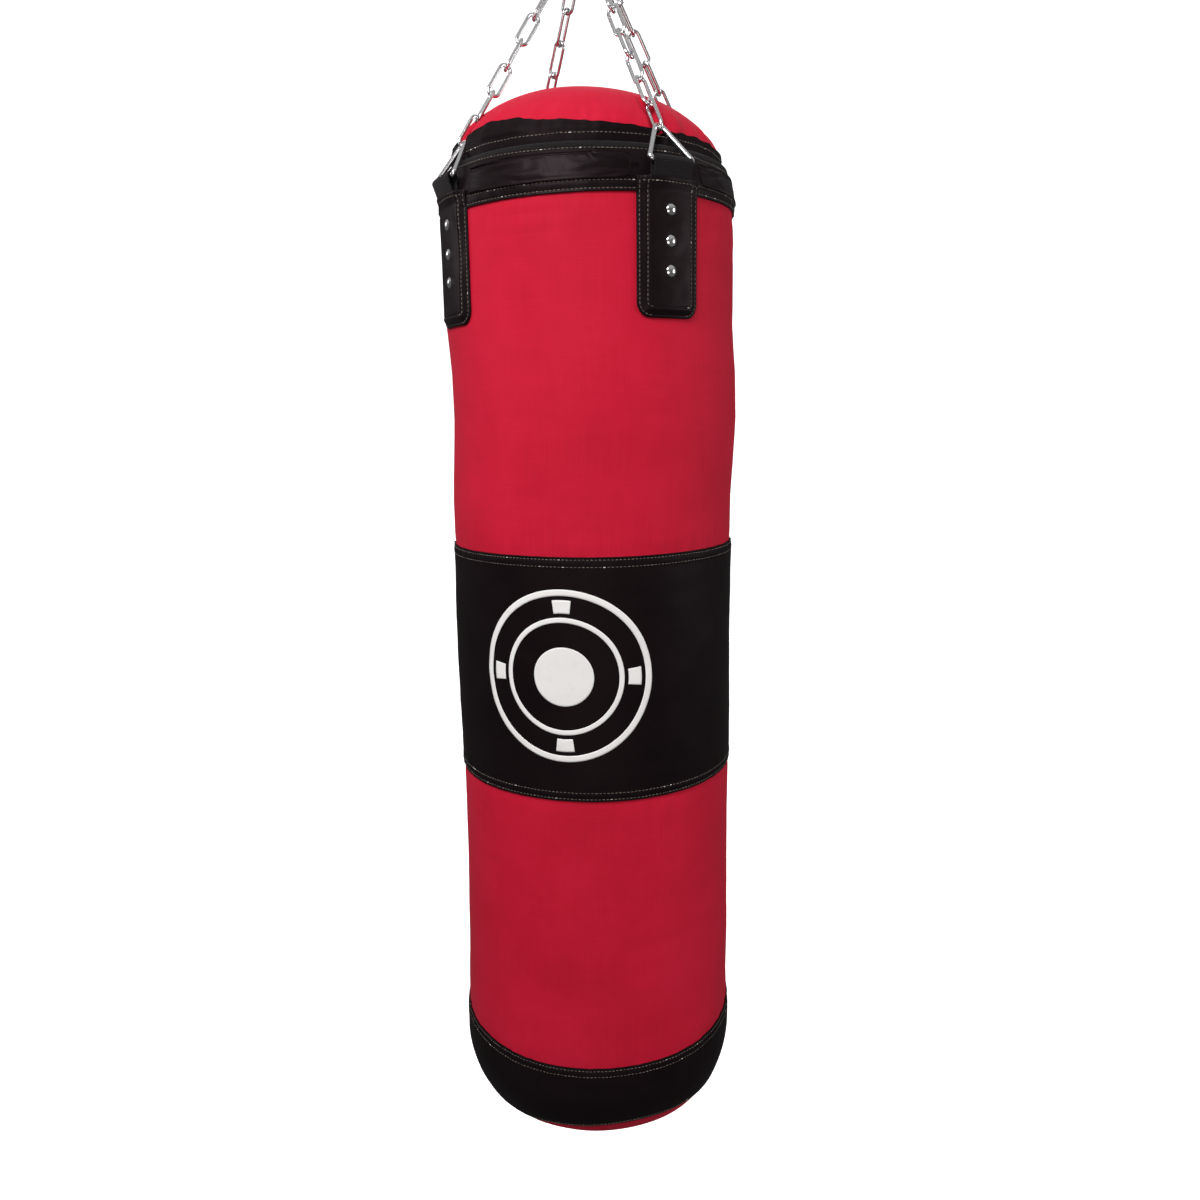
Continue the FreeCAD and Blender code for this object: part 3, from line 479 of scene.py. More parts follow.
def metal(name, low, high, rough, scratch, grain=0.0):
    made = Shader(name, Metallic=1.0, Roughness=0.2)
    cloud = made.noise(made.space(), 45.0, 4.0, 0.6)
    streak = made.noise(made.space((1, 1, 7)), 220.0, 3.0, 0.7)
    made.paint(made.ramp(cloud, [(0.3, low), (0.7, high)]),
               Roughness=made.span(made.blend(cloud, streak), *rough))
    made.emboss(streak, scratch, 0.05 * MM)
    if grain:
        made.emboss(made.noise(made.space(), 900.0, 2.0), grain, 0.2 * MM)
    return made.material


def ink():
    made = Shader("white_ink", Roughness=0.5, Specular_IOR_Level=0.4)
    wear = made.noise(made.uv(), 85.0, 5.0, 0.7)
    color = made.ramp(wear, [(0.26, (0.72, 0.71, 0.69)), (0.38, (0.92, 0.92, 0.91)),
                             (0.7, (0.96, 0.96, 0.96))])
    made.paint(color, Roughness=made.span(wear, 0.42, 0.62))
    made.emboss(made.math("MINIMUM", made.cells(made.uv(), 900.0), 0.2), 0.3, 0.15 * MM)
    return made.material


def plastic(name, low, high):
    made = Shader(name, Roughness=0.4)
    cloud = made.noise(made.space(), 260.0, 3.0)
    made.paint(made.ramp(cloud, [(0.3, low), (0.7, high)]), Roughness=made.span(cloud, 0.3, 0.5))
    made.emboss(cloud, 0.2, 0.1 * MM)
    return made.material


def foam():
    made = Shader("foam", Roughness=0.9)
    pores = made.cells(made.space(), 420.0, "F1")
    made.paint(made.ramp(pores, [(0.1, (0.10, 0.10, 0.11)), (0.7, (0.27, 0.27, 0.29))]))
    made.emboss(pores, 0.8, 0.8 * MM)
    return made.material


def clippings():
    made = Shader("textile_clippings", Roughness=0.95)
    shreds = made.noise(made.space((1, 1, 2.5)), 70.0, 6.0, 0.7)
    made.paint(made.ramp(shreds, [(0.3, (0.10, 0.12, 0.20)), (0.45, (0.42, 0.38, 0.33)),
                                  (0.6, (0.30, 0.10, 0.10)), (0.75, (0.55, 0.53, 0.50))]))
    made.emboss(shreds, 0.9, 3 * MM)
    return made.material


MATERIALS = {
    "canvas": canvas(),
    "gloss_leather": leatherette("gloss_leatherette", (0.0052, 0.0030, 0.0036), (0.011, 0.0068, 0.0078),
                                 (0.30, 0.50), 950.0, 0.34, 0.085),
    "matte_leather": leatherette("matte_leatherette", (0.0042, 0.0024, 0.0028), (0.0085, 0.0052, 0.0060),
                                 (0.46, 0.64), 1100.0, 0.18, 0.07),
    "thread": thread(),
    "webbing": woven("black_webbing", (0.005, 0.004, 0.0045), (0.013, 0.010, 0.011), 1.9 * MM),
    "zip_tape": woven("zip_tape", (0.005, 0.004, 0.0045), (0.014, 0.011, 0.012), 1.1 * MM),
    "zip_teeth": plastic("nylon_teeth", (0.014, 0.013, 0.014), (0.035, 0.033, 0.033)),
    "zip_metal": metal("zip_metal", (0.10, 0.10, 0.105), (0.20, 0.20, 0.205), (0.28, 0.50), 0.3),
    "plated": metal("plated_wire", (0.74, 0.75, 0.77), (0.86, 0.87, 0.88), (0.14, 0.30), 0.25),
    "rivet": metal("rivet_chrome", (0.66, 0.66, 0.67), (0.84, 0.84, 0.85), (0.08, 0.22), 0.15),
    "forged": metal("forged_steel", (0.42, 0.43, 0.45), (0.62, 0.63, 0.65), (0.32, 0.52), 0.3, 0.35),
    "bearing": metal("bearing_steel", (0.55, 0.55, 0.57), (0.68, 0.68, 0.70), (0.10, 0.22), 0.1),
    "ink": ink(),
    "foam": foam(),
    "clippings": clippings(),
}


# ---- cover and bands ----
def columns():
    return np.arange(AROUND) * TURN / AROUND


def rows_between(low, high, coarse, fine, near=30 * MM):
    """Steps along the outline, closer together beside the seams."""
    steps, s = [low], low
    while s < high:
        gap = min(abs(s - seam) for seam in SEAMS)
        s += fine + (coarse - fine) * float(smooth(gap / near))
        steps.append(min(s, high))
    return np.array(steps)


def make_canvas():
    theta = columns()
    s = np.concatenate([[0.0], rows_between(BASE_RADIUS * 0.12, S_END, 5 * MM, 1.8 * MM)])
    points = cover_point(theta[:, None], s[None, :])
    points[:, 0, :2] = 0
    piece = grid("cover_canvas", points, theta * WALL_RADIUS, s, ring=True, pole=True)
    finish_piece(piece, "canvas", stands_for=("cover_body", "cover_base"))


def hem_height(edge_gap):
    """Height of a folded and twice-stitched hem above the flat of its band."""
    fold = 0.55 * (1 - smooth((edge_gap - HEM) / (1.2 * MM)))
    grooves = 0.5 * bump(edge_gap - EDGE_STITCH, 0.9 * MM) + 0.5 * bump(edge_gap - INNER_STITCH, 0.9 * MM)
    puff = 0.25 * bump(edge_gap - (EDGE_STITCH + INNER_STITCH) / 2, 2.6 * MM)
    return (fold + puff - grooves) * MM


def leather_ripple(theta, s):
    """The shallow unevenness of leatherette that is sewn flat."""
    return (0.5 * SLACK(theta, s) + 0.2 * SLACK_FINE(theta + 2 * s, s)) * MM


class Band:
    """A leatherette band between two lengths along the outline. Its edges wander a little, as sewn work
    does."""

    def __init__(self, name, limits, material, low_wander, high_wander, hems, stands_for):
        self.name, self.material, self.stands_for = name, material, stands_for
        self.limits, self.wanders, self.hems = limits, (low_wander, high_wander), hems

    def place(self, theta, s):
        """Where a point of the straight band comes to lie."""
        low, high = self.limits
        share = smooth((s - low) / (high - low))
        return s + self.wanders[0](theta) * (1 - share) + self.wanders[1](theta) * share

    def lift(self, s):
        """The outer face above the canvas, with its hems."""
        low, high = self.limits
        gaps = [gap for gap, hem in ((s - low, self.hems[0]), (high - s, self.hems[1])) if hem]
        return LAYER + hem_height(np.minimum.reduce(gaps) if gaps else s * 0 + 1)

    def loose(self, s):
        """0 on the stitched edges, 1 away from them."""
        low, high = self.limits
        return smooth((np.minimum(s - low, high - s) - 0.6 * HEM) / (8 * MM))

    def point(self, theta, s, off=0.0):
        lift = self.lift(s) + leather_ripple(theta, s) * self.loose(s) + off
        return cover_point(theta, self.place(theta, s), lift)

    def build(self, push=None):
        low, high = self.limits
        theta = columns()
        rim = 14 * MM
        fine = np.arange(0, rim, 0.6 * MM)
        count = max(3, int((high - low - 2 * rim) / (1.8 * MM)))
        face = np.concatenate([low + fine, np.linspace(low + rim, high - rim, count), (high - fine)[::-1]])
        faces = self.point(theta[:, None], face[None, :])
        if push is not None:
            faces = faces + push(theta, face)
        turned = [(low + 2 * MM, -0.4), (low, -0.1), (low - 0.25 * MM, 0.7)]
        under = [cover_point(theta, self.place(theta, s + 0 * theta), off * MM) for s, off in turned]
        over = [cover_point(theta, self.place(theta, high + low - s + 0 * theta), off * MM)
                for s, off in turned[::-1]]
        points = np.concatenate([np.stack(under, 1), faces, np.stack(over, 1)], 1)
        s = np.concatenate([[t[0] for t in turned], face, [high + low - t[0] for t in turned[::-1]]])
        piece = grid(self.name + "_leather", points, theta * WALL_RADIUS, s, ring=True, tube=True)
        finish_piece(piece, self.material, stands_for=self.stands_for)

    def sew(self, tag, s):
        theta = np.linspace(0, TURN, SEWN_AROUND)
        line = self.point(theta, s + 0 * theta)
        sew(f"stitches_{self.name}_{tag}", line, cover_normal(theta, s + 0 * theta))

    def sew_hems(self):
        low, high = self.limits
        self.sew("low_edge", low + EDGE_STITCH)
        self.sew("high_edge", high - EDGE_STITCH)
        if self.hems[0]:
            self.sew("low_inner", low + INNER_STITCH)
        if self.hems[1]:
            self.sew("high_inner", high - INNER_STITCH)


def wander(seed, size, lean=0.0, bearing=0.0):
    """How far an edge strays up from its line: a slow wobble, and a tilt that is highest at a bearing."""
    wobble = Ripple(seed, 7, 1.0)
    return lambda theta: size * wobble(theta, 0.5) + lean * np.cos(theta - math.radians(bearing))


def foot_edge(theta):
    """The bottom band's lower edge, which is cut highest beside the front right strap."""
    return 5 * MM + 17 * MM * bump(angle_gap(theta, -50.0), 0.95) + 1.5 * MM * SLACK(theta, 0.5)


def settle(loose, sewn, held, bend, frames=30):
    """Cloth for a band: its held points move from their loose places to their sewn ones while the rest
    buckles over the body under it. Points are columns by rows, and close round the bag."""
    around, rows = sewn.shape[:2]
    u, v = np.arange(around) * 1.0, np.arange(rows) * 1.0
    band = grid("settling", loose, u, v, ring=True)
    body = grid("body", sewn - out_from_axis(sewn) * 1.1 * MM, u, v, ring=True)
    body.modifiers.new("hard", "COLLISION")
    body.collision.thickness_outer = 0.0005
    body.collision.use_culling = False
    pins = band.vertex_groups.new(name="held")
    for index in np.flatnonzero(held.ravel()).tolist():
        pins.add([index], 1.0, "REPLACE")
    band.shape_key_add(name="loose")
    key = band.shape_key_add(name="sewn")
    key.data.foreach_set("co", sewn.ravel())
    for value, when in ((0.0, 1), (1.0, frames // 2)):
        key.value = value
        key.keyframe_insert("value", frame=when)
    cloth = band.modifiers.new("cloth", "CLOTH")
    cloth.point_cache.frame_end = frames + 1
    cloth.settings.quality = 6
    cloth.settings.mass = 0.3
    cloth.settings.tension_stiffness = cloth.settings.compression_stiffness = 20
    cloth.settings.shear_stiffness = 8
    cloth.settings.bending_stiffness = bend
    cloth.settings.bending_damping = 0.8
    cloth.settings.air_damping = 6
    cloth.settings.vertex_group_mass = "held"
    cloth.settings.effector_weights.gravity = 0.0
    cloth.settings.use_pressure = True
    cloth.settings.uniform_pressure_force = 0.4
    cloth.collision_settings.distance_min = 0.0006
    for step in range(1, frames + 1):
        bpy.context.scene.frame_set(step)
    shape = band.evaluated_get(bpy.context.evaluated_depsgraph_get()).data
    settled = np.empty(around * rows * 3, np.float32)
    shape.vertices.foreach_get("co", settled)
    for piece in (band, body):
        bpy.data.objects.remove(piece)
    bpy.context.scene.frame_set(1)
    return settled.reshape(around, rows, 3).astype(float)


def out_from_axis(points):
    flat = points * [1, 1, 0]
    return flat / np.linalg.norm(flat, axis=-1)[..., None]


def leaf_fold(theta, height):
    """A long fold that stands out beside the right strap, in a leaf's shape between two creases."""
    along = (theta - math.radians(-74)) / math.radians(19)
    inside = np.clip(along, 0, 1)
    half = 9.5 * MM * np.sin(math.pi * inside ** 0.8)
    across = np.abs(height - (1103 * MM - 9 * MM * inside))
    ridge = (1 - smooth(across / (half + 1 * MM))) * smooth(half / (5 * MM))
    crease = bump(across - half, 2.6 * MM) * smooth((along + 0.05) / 0.15) * smooth((1.05 - along) / 0.15)
    return (3.2 * ridge - 0.65 * crease) * MM


def make_top_band():
    """Its leather was cut too long for its place, so it buckles between its stitched edges."""
    band = Band("band_top", TOP_BAND, "gloss_leather", wander(36, 0.8 * MM, 3.6 * MM, 15.5),
                wander(37, 0.5 * MM), (True, False), ("band_top",))
    low, high = TOP_BAND

    def fold(at, rows):
        across, along = np.broadcast_arrays(at[:, None], rows[None, :])
        height = np.interp(along, LINE_S, LINE[:, 1])
        return cover_normal(across, along) * leaf_fold(angle_gap(across, 0), height)[..., None]

    push = fold
    theta, s = np.arange(CLOTH_COLUMNS) * TURN / CLOTH_COLUMNS, np.linspace(low, high, CLOTH_ROWS)
    across, along = theta[:, None] + 0 * s, s[None, :] + 0 * theta[:, None]
    sewn = band.point(across, along)
    spare = 0.46 * (0.55 + 0.45 * np.sin(3 * across + 1) * np.sin(2 * across))
    middle = sewn.mean(1, keepdims=True)
    loose = middle + (sewn - middle) * (1 + [0, 0, 1] * spare[..., None])
    lift = 1.3 * MM + 1.2 * MM * BUCKLE(across + 9 * along, along)
    loose = loose + out_from_axis(sewn) * lift[..., None]
    held = (along < low + 1.1 * HEM) | (along > high - 8.5 * MM) | (strap_cover(across, along) > 0.85)
    moved = settle(loose, sewn, held, 4.0) - sewn

    def push(at, rows):
        column = at / TURN * CLOTH_COLUMNS
        i = np.floor(column).astype(int) % CLOTH_COLUMNS
        u = (column - np.floor(column))[:, None, None]
        row = (rows - low) / (s[1] - s[0])
        j = np.clip(np.floor(row).astype(int), 0, CLOTH_ROWS - 2)
        v = (row - j)[None, :, None]
        near, far = moved[i], moved[(i + 1) % CLOTH_COLUMNS]
        mixed = near * (1 - u) + far * u
        return mixed[:, j] * (1 - v) + mixed[:, j + 1] * v + fold(at, rows)
    band.build(push)
    band.sew_hems()


def make_bands():
    make_top_band()
    middle.build()
    middle.sew_hems()
    bottom.build()
    bottom.sew_hems()


# ---- lid, skirt and zip ----
def chain_lines():
    """A point on each taut chain leg and its direction, from the middles of its pieces."""
    lines = []
    for name in STRAPS:
        low, high = [Vector(sum((v.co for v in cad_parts[node + name].data.vertices), Vector()))
                     / len(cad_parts[node + name].data.vertices) for node in ("chain_", "end_link_")]
        lines.append((np.array(low), np.array((high - low).normalized())))
    return lines


def press(points, normals, lines, room):
    """Pushes points in where a chain leg would lie in the padding."""
    for _ in range(12):
        for place, way in lines:
            gap = points - place
            gap = gap - (gap @ way)[..., None] * way
            distance = np.linalg.norm(gap, axis=-1)
            points = points - normals * (0.35 * np.maximum(room - distance, 0))[..., None]
    return points


def lid_surface(theta, t, off):
    """The dome: t is 0 at the zip and 1 at the crown."""
    turn = t * math.pi / 2
    rise = LID_TOP_Z - BASE_Z - LID_BASE
    r, z = (LID_RADIUS + off) * np.cos(turn), (rise + off) * np.sin(turn)
    out, up = rise * np.cos(turn), LID_RADIUS * np.sin(turn)
    length = np.hypot(out, up)
    return polar(r, theta, BASE_Z + LID_BASE + z), polar(out / length, theta, up / length)


def lid_swell(theta, t):
    """Padding lumps, a fuller side, and gathers that fan in from the skirt's seam."""
    lumps, gathers, fine = Ripple(41, 7, 0.35), Ripple(42, 74, 0.3), Ripple(43, 150, 0.2)
    fade = np.cos(np.clip(t, 0, 1) * math.pi / 2)
    seam = bump(t - 0.17, 0.14)
    full = 2.5 * np.sin(np.clip(t, 0, 1) * math.pi) * (1 + np.cos(angle_gap(theta, -164.5)))
    fan = gathers(theta + 0.05 * lumps(theta, t), t)
    return (full + 1.4 * (1 + lumps(theta, t)) * fade + 1.3 * seam * (1 + fan)
            + 0.5 * seam * (1 + fine(theta, t))) * MM


def make_lid():
    theta = columns()
    t = np.concatenate([np.linspace(0.08, 0.4, 60, endpoint=False), np.linspace(0.4, 1.0, 60)])
    points, normals = lid_surface(theta[:, None], t[None, :], 0.0)
    points = points + normals * lid_swell(theta[:, None], t[None, :])[..., None]
    points = press(points, normals, chain_lines(), 10.5 * MM)
    points[:, -1, :2] = 0
    piece = grid("lid_canvas", points[:, ::-1], theta * LID_RADIUS, (1 - t[::-1]) * LID_RADIUS * 1.3,
                 ring=True, pole=True)
    piece.data.flip_normals()
    finish_piece(piece, "canvas", stands_for=("lid_panel",))
    solidify(piece, 1.2 * MM)


def skirt_place(theta, t, steps):
    """Where the skirt lies over the lid's edge: t is its place on the dome, and steps runs 0 to 1 up
    its width."""
    slack = Ripple(53, 34, 0.5)
    points, normals = lid_surface(theta, t, 0.0)
    edge = bump(1 - steps, 0.06)
    belly = np.sin(steps * math.pi) * smooth((t - SKIRT_SEAM - 0.008) / 0.04)
    lift = 1.5 * MM + lid_swell(theta, t) + (1.6 * belly * (0.6 + slack(theta, t)) + 0.7 * edge) * MM
    return points + normals * lift[..., None], normals


def make_skirt():
    """The black strip that joins the lid to the zip: its upper edge wanders, and it is slack between."""
    theta = columns()
    stray, wave, nick = Ripple(51, 9, 1.0), Ripple(54, 26, 1.0), Ripple(52, 95, 1.0)
    top = 0.168 + 0.018 * stray(theta, 0.5) + 0.014 * wave(theta, 0.5) + 0.010 * nick(theta, 0.5)
    top = top + 0.050 * bump(angle_gap(theta, -112), 0.30) - 0.072 * bump(angle_gap(theta, -32), 0.80)
    steps = np.linspace(0, 1, 36)[None, :]
    t = steps * top[:, None] - 0.012 * (1 - steps)
    points, normals = skirt_place(theta[:, None], t, steps)
    points = press(points, normals, chain_lines(), 9.5 * MM)
    piece = grid("lid_skirt_leather", points, theta * LID_RADIUS, t[0] * LID_RADIUS, ring=True)
    finish_piece(piece, "matte_leather", stands_for=("lid_skirt",))
    solidify(piece, 1.1 * MM)
    around = np.linspace(0, TURN, SEWN_AROUND)
    sew("stitches_skirt", *skirt_place(around, SKIRT_SEAM + 0 * around, 0.25 + 0 * around))


def make_zip():
    """The inner tape lies flat under the skirt. The outer one turns down inside the top band's upper edge."""
    theta = columns()
    tape_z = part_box("zip_tape_outer")[1].z

    def flat(r):
        return polar(r, theta, tape_z)

    seam = TOP_BAND[1] + 0 * theta
    outer_rows = [flat(ZIP_RADIUS + r * MM) for r in (0.7, 1.8, 2.9, 4.0)]
    edge, tail = [cover_point(theta, seam - back * MM, off * MM) for back, off in ((0.4, 0.9), (6.0, -1.6))]
    rolled = flat(ZIP_RADIUS + 5.8 * MM)
    for k in (0.33, 0.67, 1.0):
        outer_rows.append(outer_rows[3] * (1 - k) ** 2 + rolled * 2 * k * (1 - k) + edge * k ** 2)
    outer_rows += [edge * 0.5 + tail * 0.5, tail]
    inner_rows = [flat(r) for r in np.linspace(LID_RADIUS - 1 * MM, ZIP_RADIUS - 0.7 * MM, 6)]
    for name, rows in (("zip_tape_inner", inner_rows), ("zip_tape_outer", outer_rows)):
        points = np.stack(rows, 1)
        width = np.concatenate([[0], np.cumsum(np.linalg.norm(np.diff(points[0], axis=0), axis=1))])
        piece = grid(name + "_cloth", points, theta * ZIP_RADIUS, width, ring=True)
        finish_piece(piece, "zip_tape", stands_for=(name,))
        solidify(piece, 0.9 * MM)
    make_teeth(tape_z)


def make_teeth(tape_z):
    """Two rows of interleaved nylon coils, each turn a small rounded loop."""
    pitch = 2.6 * MM / ZIP_RADIUS
    start, sweep = math.radians(57), math.radians(316)
    loop = [(-0.5, -0.25, 0), (0.5, -0.25, 0), (0.5, 0.25, 0), (-0.5, 0.25, 0),
            (-0.42, -0.2, 0.8), (0.34, -0.2, 0.8), (0.34, 0.2, 0.8), (-0.42, 0.2, 0.8),
            (-0.3, -0.12, 1.0), (0.2, -0.12, 1.0), (0.2, 0.12, 1.0), (-0.3, 0.12, 1.0)]
    faces = [[3, 2, 1, 0], [8, 9, 10, 11]]
    faces += [[a + k, a + (k + 1) % 4, a + 4 + (k + 1) % 4, a + 4 + k] for a in (0, 4) for k in range(4)]
    size = np.array([2.0 * MM, 1.9 * MM, ZIP_HIGH.z - tape_z - 0.1 * MM])
    for name, side, phase in (("zip_teeth_outer", 1, 0.0), ("zip_teeth_inner", -1, 0.5)):
        turn = start + (np.arange(int(sweep / pitch)) + phase) * pitch
        out = polar(1.0, turn, 0.0)
        up = np.tile([0.0, 0.0, 1.0], (len(turn), 1))
        origin = out * (ZIP_RADIUS + side * 1.65 * MM) + up * (tape_z + 0.02 * MM)
        along = np.cross(up, out)
        places = (origin, -side * out * size[0], -side * along * size[1], up * size[2])
        piece = stamp(name + "_coil", loop, faces, places)
        finish_piece(piece, "zip_teeth", stands_for=(name,))


# ---- straps ----
def tab_edge_gap(u, v):
    """Distance in from the tab's outline, whose lower corners are round. v is 0 at its foot."""
    half = TAB_WIDTH / 2
    side, foot = half - np.abs(u), v
    round_corner = TAB_CORNER - np.hypot(np.maximum(TAB_CORNER - side, 0), np.maximum(TAB_CORNER - foot, 0))
    in_corner = (side < TAB_CORNER) & (foot < TAB_CORNER)
    return np.where(in_corner, round_corner, np.minimum(side, foot))


TAB_LENGTH = TAB_TOP - TAB_LOW
TAB_RAISED = 172.0 * MM - WALL_RADIUS  # the tab's face over the folded webbing
TAB_FOOT = 3.0 * MM  # and at its own edge, on the canvas
TAB_KNEE = 1071.5 * MM  # above this it leans out over the webbing's loop
TAB_LEAN = 0.37
INNER_SEAM = 11.0 * MM


def tab_lift(u, v):
    """The tab's outer face above the plain wall."""
    gap = tab_edge_gap(u, v)
    over_webbing = smooth((TAB_WIDTH / 2 - np.abs(u) - 5 * MM) / (9 * MM)) * smooth((v - 3 * MM) / (7 * MM))
    over_band = smooth((TAB_LOW + v - TOP_BAND_LOW + 2 * MM) / (5 * MM))
    foot = TAB_FOOT + 1.2 * MM * over_band
    lift = foot + (TAB_RAISED - foot) * over_webbing
    lift = lift + (0.5 * bump(gap - 7 * MM, 3 * MM) - 0.6 * bump(gap - 3 * MM, 0.9 * MM)
                   - 0.65 * bump(gap - INNER_SEAM, 1.0 * MM)) * MM
    lean = TAB_LEAN * np.maximum(TAB_LOW + v - TAB_KNEE, 0) * (0.25 + 0.75 * over_webbing)
    lift = lift - 1.3 * MM * (1 - smooth(gap / (1.4 * MM))) + lean
    return lift - 0.8 * MM * smooth((v - TAB_LENGTH + 2.5 * MM) / (2.5 * MM))


def tab_point(bearing, u, v):
    """A point on a tab, from the lengths across and up it, and its outward direction."""
    theta = math.radians(bearing) + u / WALL_RADIUS
    rivets = np.minimum.reduce([np.hypot(u, TAB_LOW + v - height) for height in RIVET_HEIGHTS])
    calm = smooth((rivets - 6 * MM) / (14 * MM)) * smooth(tab_edge_gap(u, v) / (16 * MM))
    crumple = 1.0 * MM * TAB_CRUMPLE(theta, v) * calm
    r = WALL_RADIUS + tab_lift(u, v) + crumple - 0.35 * MM * bump(rivets, 7 * MM)
    return polar(r, theta, BASE_Z + TAB_LOW + v), polar(1.0, theta, 0.0)


def make_tab(name, bearing):
    v = np.concatenate([np.linspace(0, 18 * MM, 34, endpoint=False), np.linspace(18 * MM, TAB_LENGTH, 110)])
    short = np.maximum(TAB_CORNER - v, 0)
    half = TAB_WIDTH / 2 - (TAB_CORNER - np.sqrt(np.maximum(TAB_CORNER ** 2 - short ** 2, 0)))
    across = np.sin(np.linspace(-1, 1, 120) * math.pi / 2) * 0.35 + np.linspace(-1, 1, 120) * 0.65
    u = across[:, None] * half[None, :]
    v = v[None, :] + 0 * u
    points, _ = tab_point(bearing, u, v)
    piece = grid("strap_leather_" + name, points, across * TAB_WIDTH / 2, v[0])
    finish_piece(piece, "gloss_leather", stands_for=("strap_tab_" + name,))
    solidify(piece, 1.2 * MM)
    sew_tab(name, bearing, 3.0 * MM, "outer")
    sew_tab(name, bearing, INNER_SEAM, "inner")
    top = np.linspace(-TAB_WIDTH / 2 + 5 * MM, TAB_WIDTH / 2 - 5 * MM, 60)
    sew(f"stitches_strap_{name}_top", *tab_point(bearing, top, TAB_LENGTH - 5 * MM + 0 * top))


def sew_tab(name, bearing, inset, tag):
    """A line of stitches down one side of the tab, round its foot and up the other."""
    half, radius = TAB_WIDTH / 2 - inset, max(TAB_CORNER - inset, 3.5 * MM)
    down = [(-half, v) for v in np.linspace(TAB_LENGTH - 4 * MM, inset + radius, 80)]
    turn = [(-half + radius - radius * math.cos(a), inset + radius - radius * math.sin(a))
            for a in np.linspace(0.05, math.pi / 2, 16)]
    left = down + turn
    path = np.array(left + [(-u, v) for u, v in reversed(left)])
    sew(f"stitches_strap_{name}_{tag}", *tab_point(bearing, path[:, 0], path[:, 1]))


def make_webbing(name, bearing):
    """The folded webbing: up the inside, over the triangle's bar and down under the tab."""
    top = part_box("strap_webbing_" + name)[1].z - 5.9 * MM
    loop = 5.3 * MM
    axis, inner, outer = 173.8 * MM, 168.5 * MM, 169.8 * MM
    foot, knee = TAB_LOW_Z + 9 * MM, top - 26 * MM
    up = [(inner, z) for z in np.linspace(foot, top, 60)]
    over = [(axis - loop * math.cos(a), top + loop * math.sin(a)) for a in np.linspace(0, math.pi, 24)]
    slope = [(axis + loop + (outer - axis - loop) * k, top + (knee - top) * k) for k in np.linspace(0, 1, 20)]
    down = [(outer, z) for z in np.linspace(knee, foot, 50)]
    path = np.array(up[:-1] + over[:-1] + slope[:-1] + down)
    length = np.concatenate([[0], np.cumsum(np.hypot(*np.diff(path, axis=0).T))])
    u = np.linspace(-WEBBING_WIDTH / 2, WEBBING_WIDTH / 2, 24)
    theta = math.radians(bearing) + u / WALL_RADIUS
    points = polar(path[None, :, 0], theta[:, None], path[None, :, 1])
    piece = grid("strap_loop_" + name, points, u, length)
    finish_piece(piece, "webbing", stands_for=("strap_webbing_" + name,))
    solidify(piece, 1.1 * MM, 0.0)


# ---- print ----
PRINT_BEARING = -86.0
PRINT_HEIGHT = 576 * MM


def print_mark(name, inner, outer, start, sweep):
    """An inked patch of a ring round the target's centre, following the band's face."""
    whole = sweep == 360
    count = max(12, int(sweep))
    a = np.radians(start + np.arange(count) * sweep / (count if whole else count - 1))
    r = np.linspace(inner, outer, max(5, int((outer - inner) / (1.5 * MM))))
    across, up = r[None, :] * np.cos(a[:, None]), r[None, :] * np.sin(a[:, None])
    theta = math.radians(PRINT_BEARING) + across / WALL_RADIUS
    points = middle.point(theta, s_at(PRINT_HEIGHT) + up, 0.3 * MM)
    piece = grid(name, points, a * (inner + outer) / 2, r, ring=whole, pole=inner == 0)
    finish_piece(piece, "ink", stands_for=("target_print",))
    solidify(piece, 0.2 * MM)


def make_print():
    rings = [(89, 96), (60, 65.5), (0, 33)]
    ticks = [(70, 84.5, bearing - 7, 14) for bearing in (0, 90, 180, 270)]
    for k, (inner, outer, start, sweep) in enumerate([(*ring, 0, 360) for ring in rings] + ticks):
        print_mark(f"target_mark_{k}", inner * MM, outer * MM, start, sweep)


# ---- metalwork and filling: CAD pieces kept as they are ----
def dress_frame():
    looks = {"forged": ["swivel_eye", "swivel_base_ring", "swivel_shank", "swivel_nut"],
             "bearing": ["bearing_race_lower", "bearing_race_upper", "bearing_balls", "gate_pin",
                         "gate_nose_pin", "gate_plunger", "gate_spring"],
             "plated": ["carabiner_body", "carabiner_gate"]
             + [kind + name for kind in ("triangle_", "chain_", "end_link_") for name in STRAPS],
             "zip_metal": ["zip_slider", "zip_pull"], "foam": ["foam_base_pad"],
             "clippings": ["textile_fill"], "rivet": ["rivets_" + name for name in STRAPS]}
    for look, nodes in looks.items():
        for node in nodes:
            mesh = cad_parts[node].data
            mesh.materials.clear()
            mesh.materials.append(MATERIALS[look])


def make_liner():
    """The foam wall inside the canvas, which follows the cover's lumps."""
    theta = np.arange(180) * TURN / 180
    s = np.linspace(s_at(CORNER_HEIGHT), s_at(1060 * MM), 120)
    path = np.concatenate([s, s[::-1]])
    off = np.repeat([-2.2 * MM, -16.0 * MM], len(s))
    points = cover_point(theta[:, None], path[None, :], off[None, :] + 0 * theta[:, None])
    piece = grid("liner_foam", points, theta * WALL_RADIUS, path, ring=True, tube=True)
    finish_piece(piece, "foam", stands_for=("foam_liner",))


# ---- camera, lights and backdrop ----
CAMERA_BEARING = 15.5  # degrees round from the printed front, towards +X
CAMERA_DISTANCE = 1.1695
CAMERA_RISE = 0.1445  # above the middle band's top edge
CAMERA_SIDESTEP = 0.0046
CAMERA_PITCH = 10.73
CAMERA_ROLL = -0.8
CAMERA_YAW = 0.17
LENS = 28.93


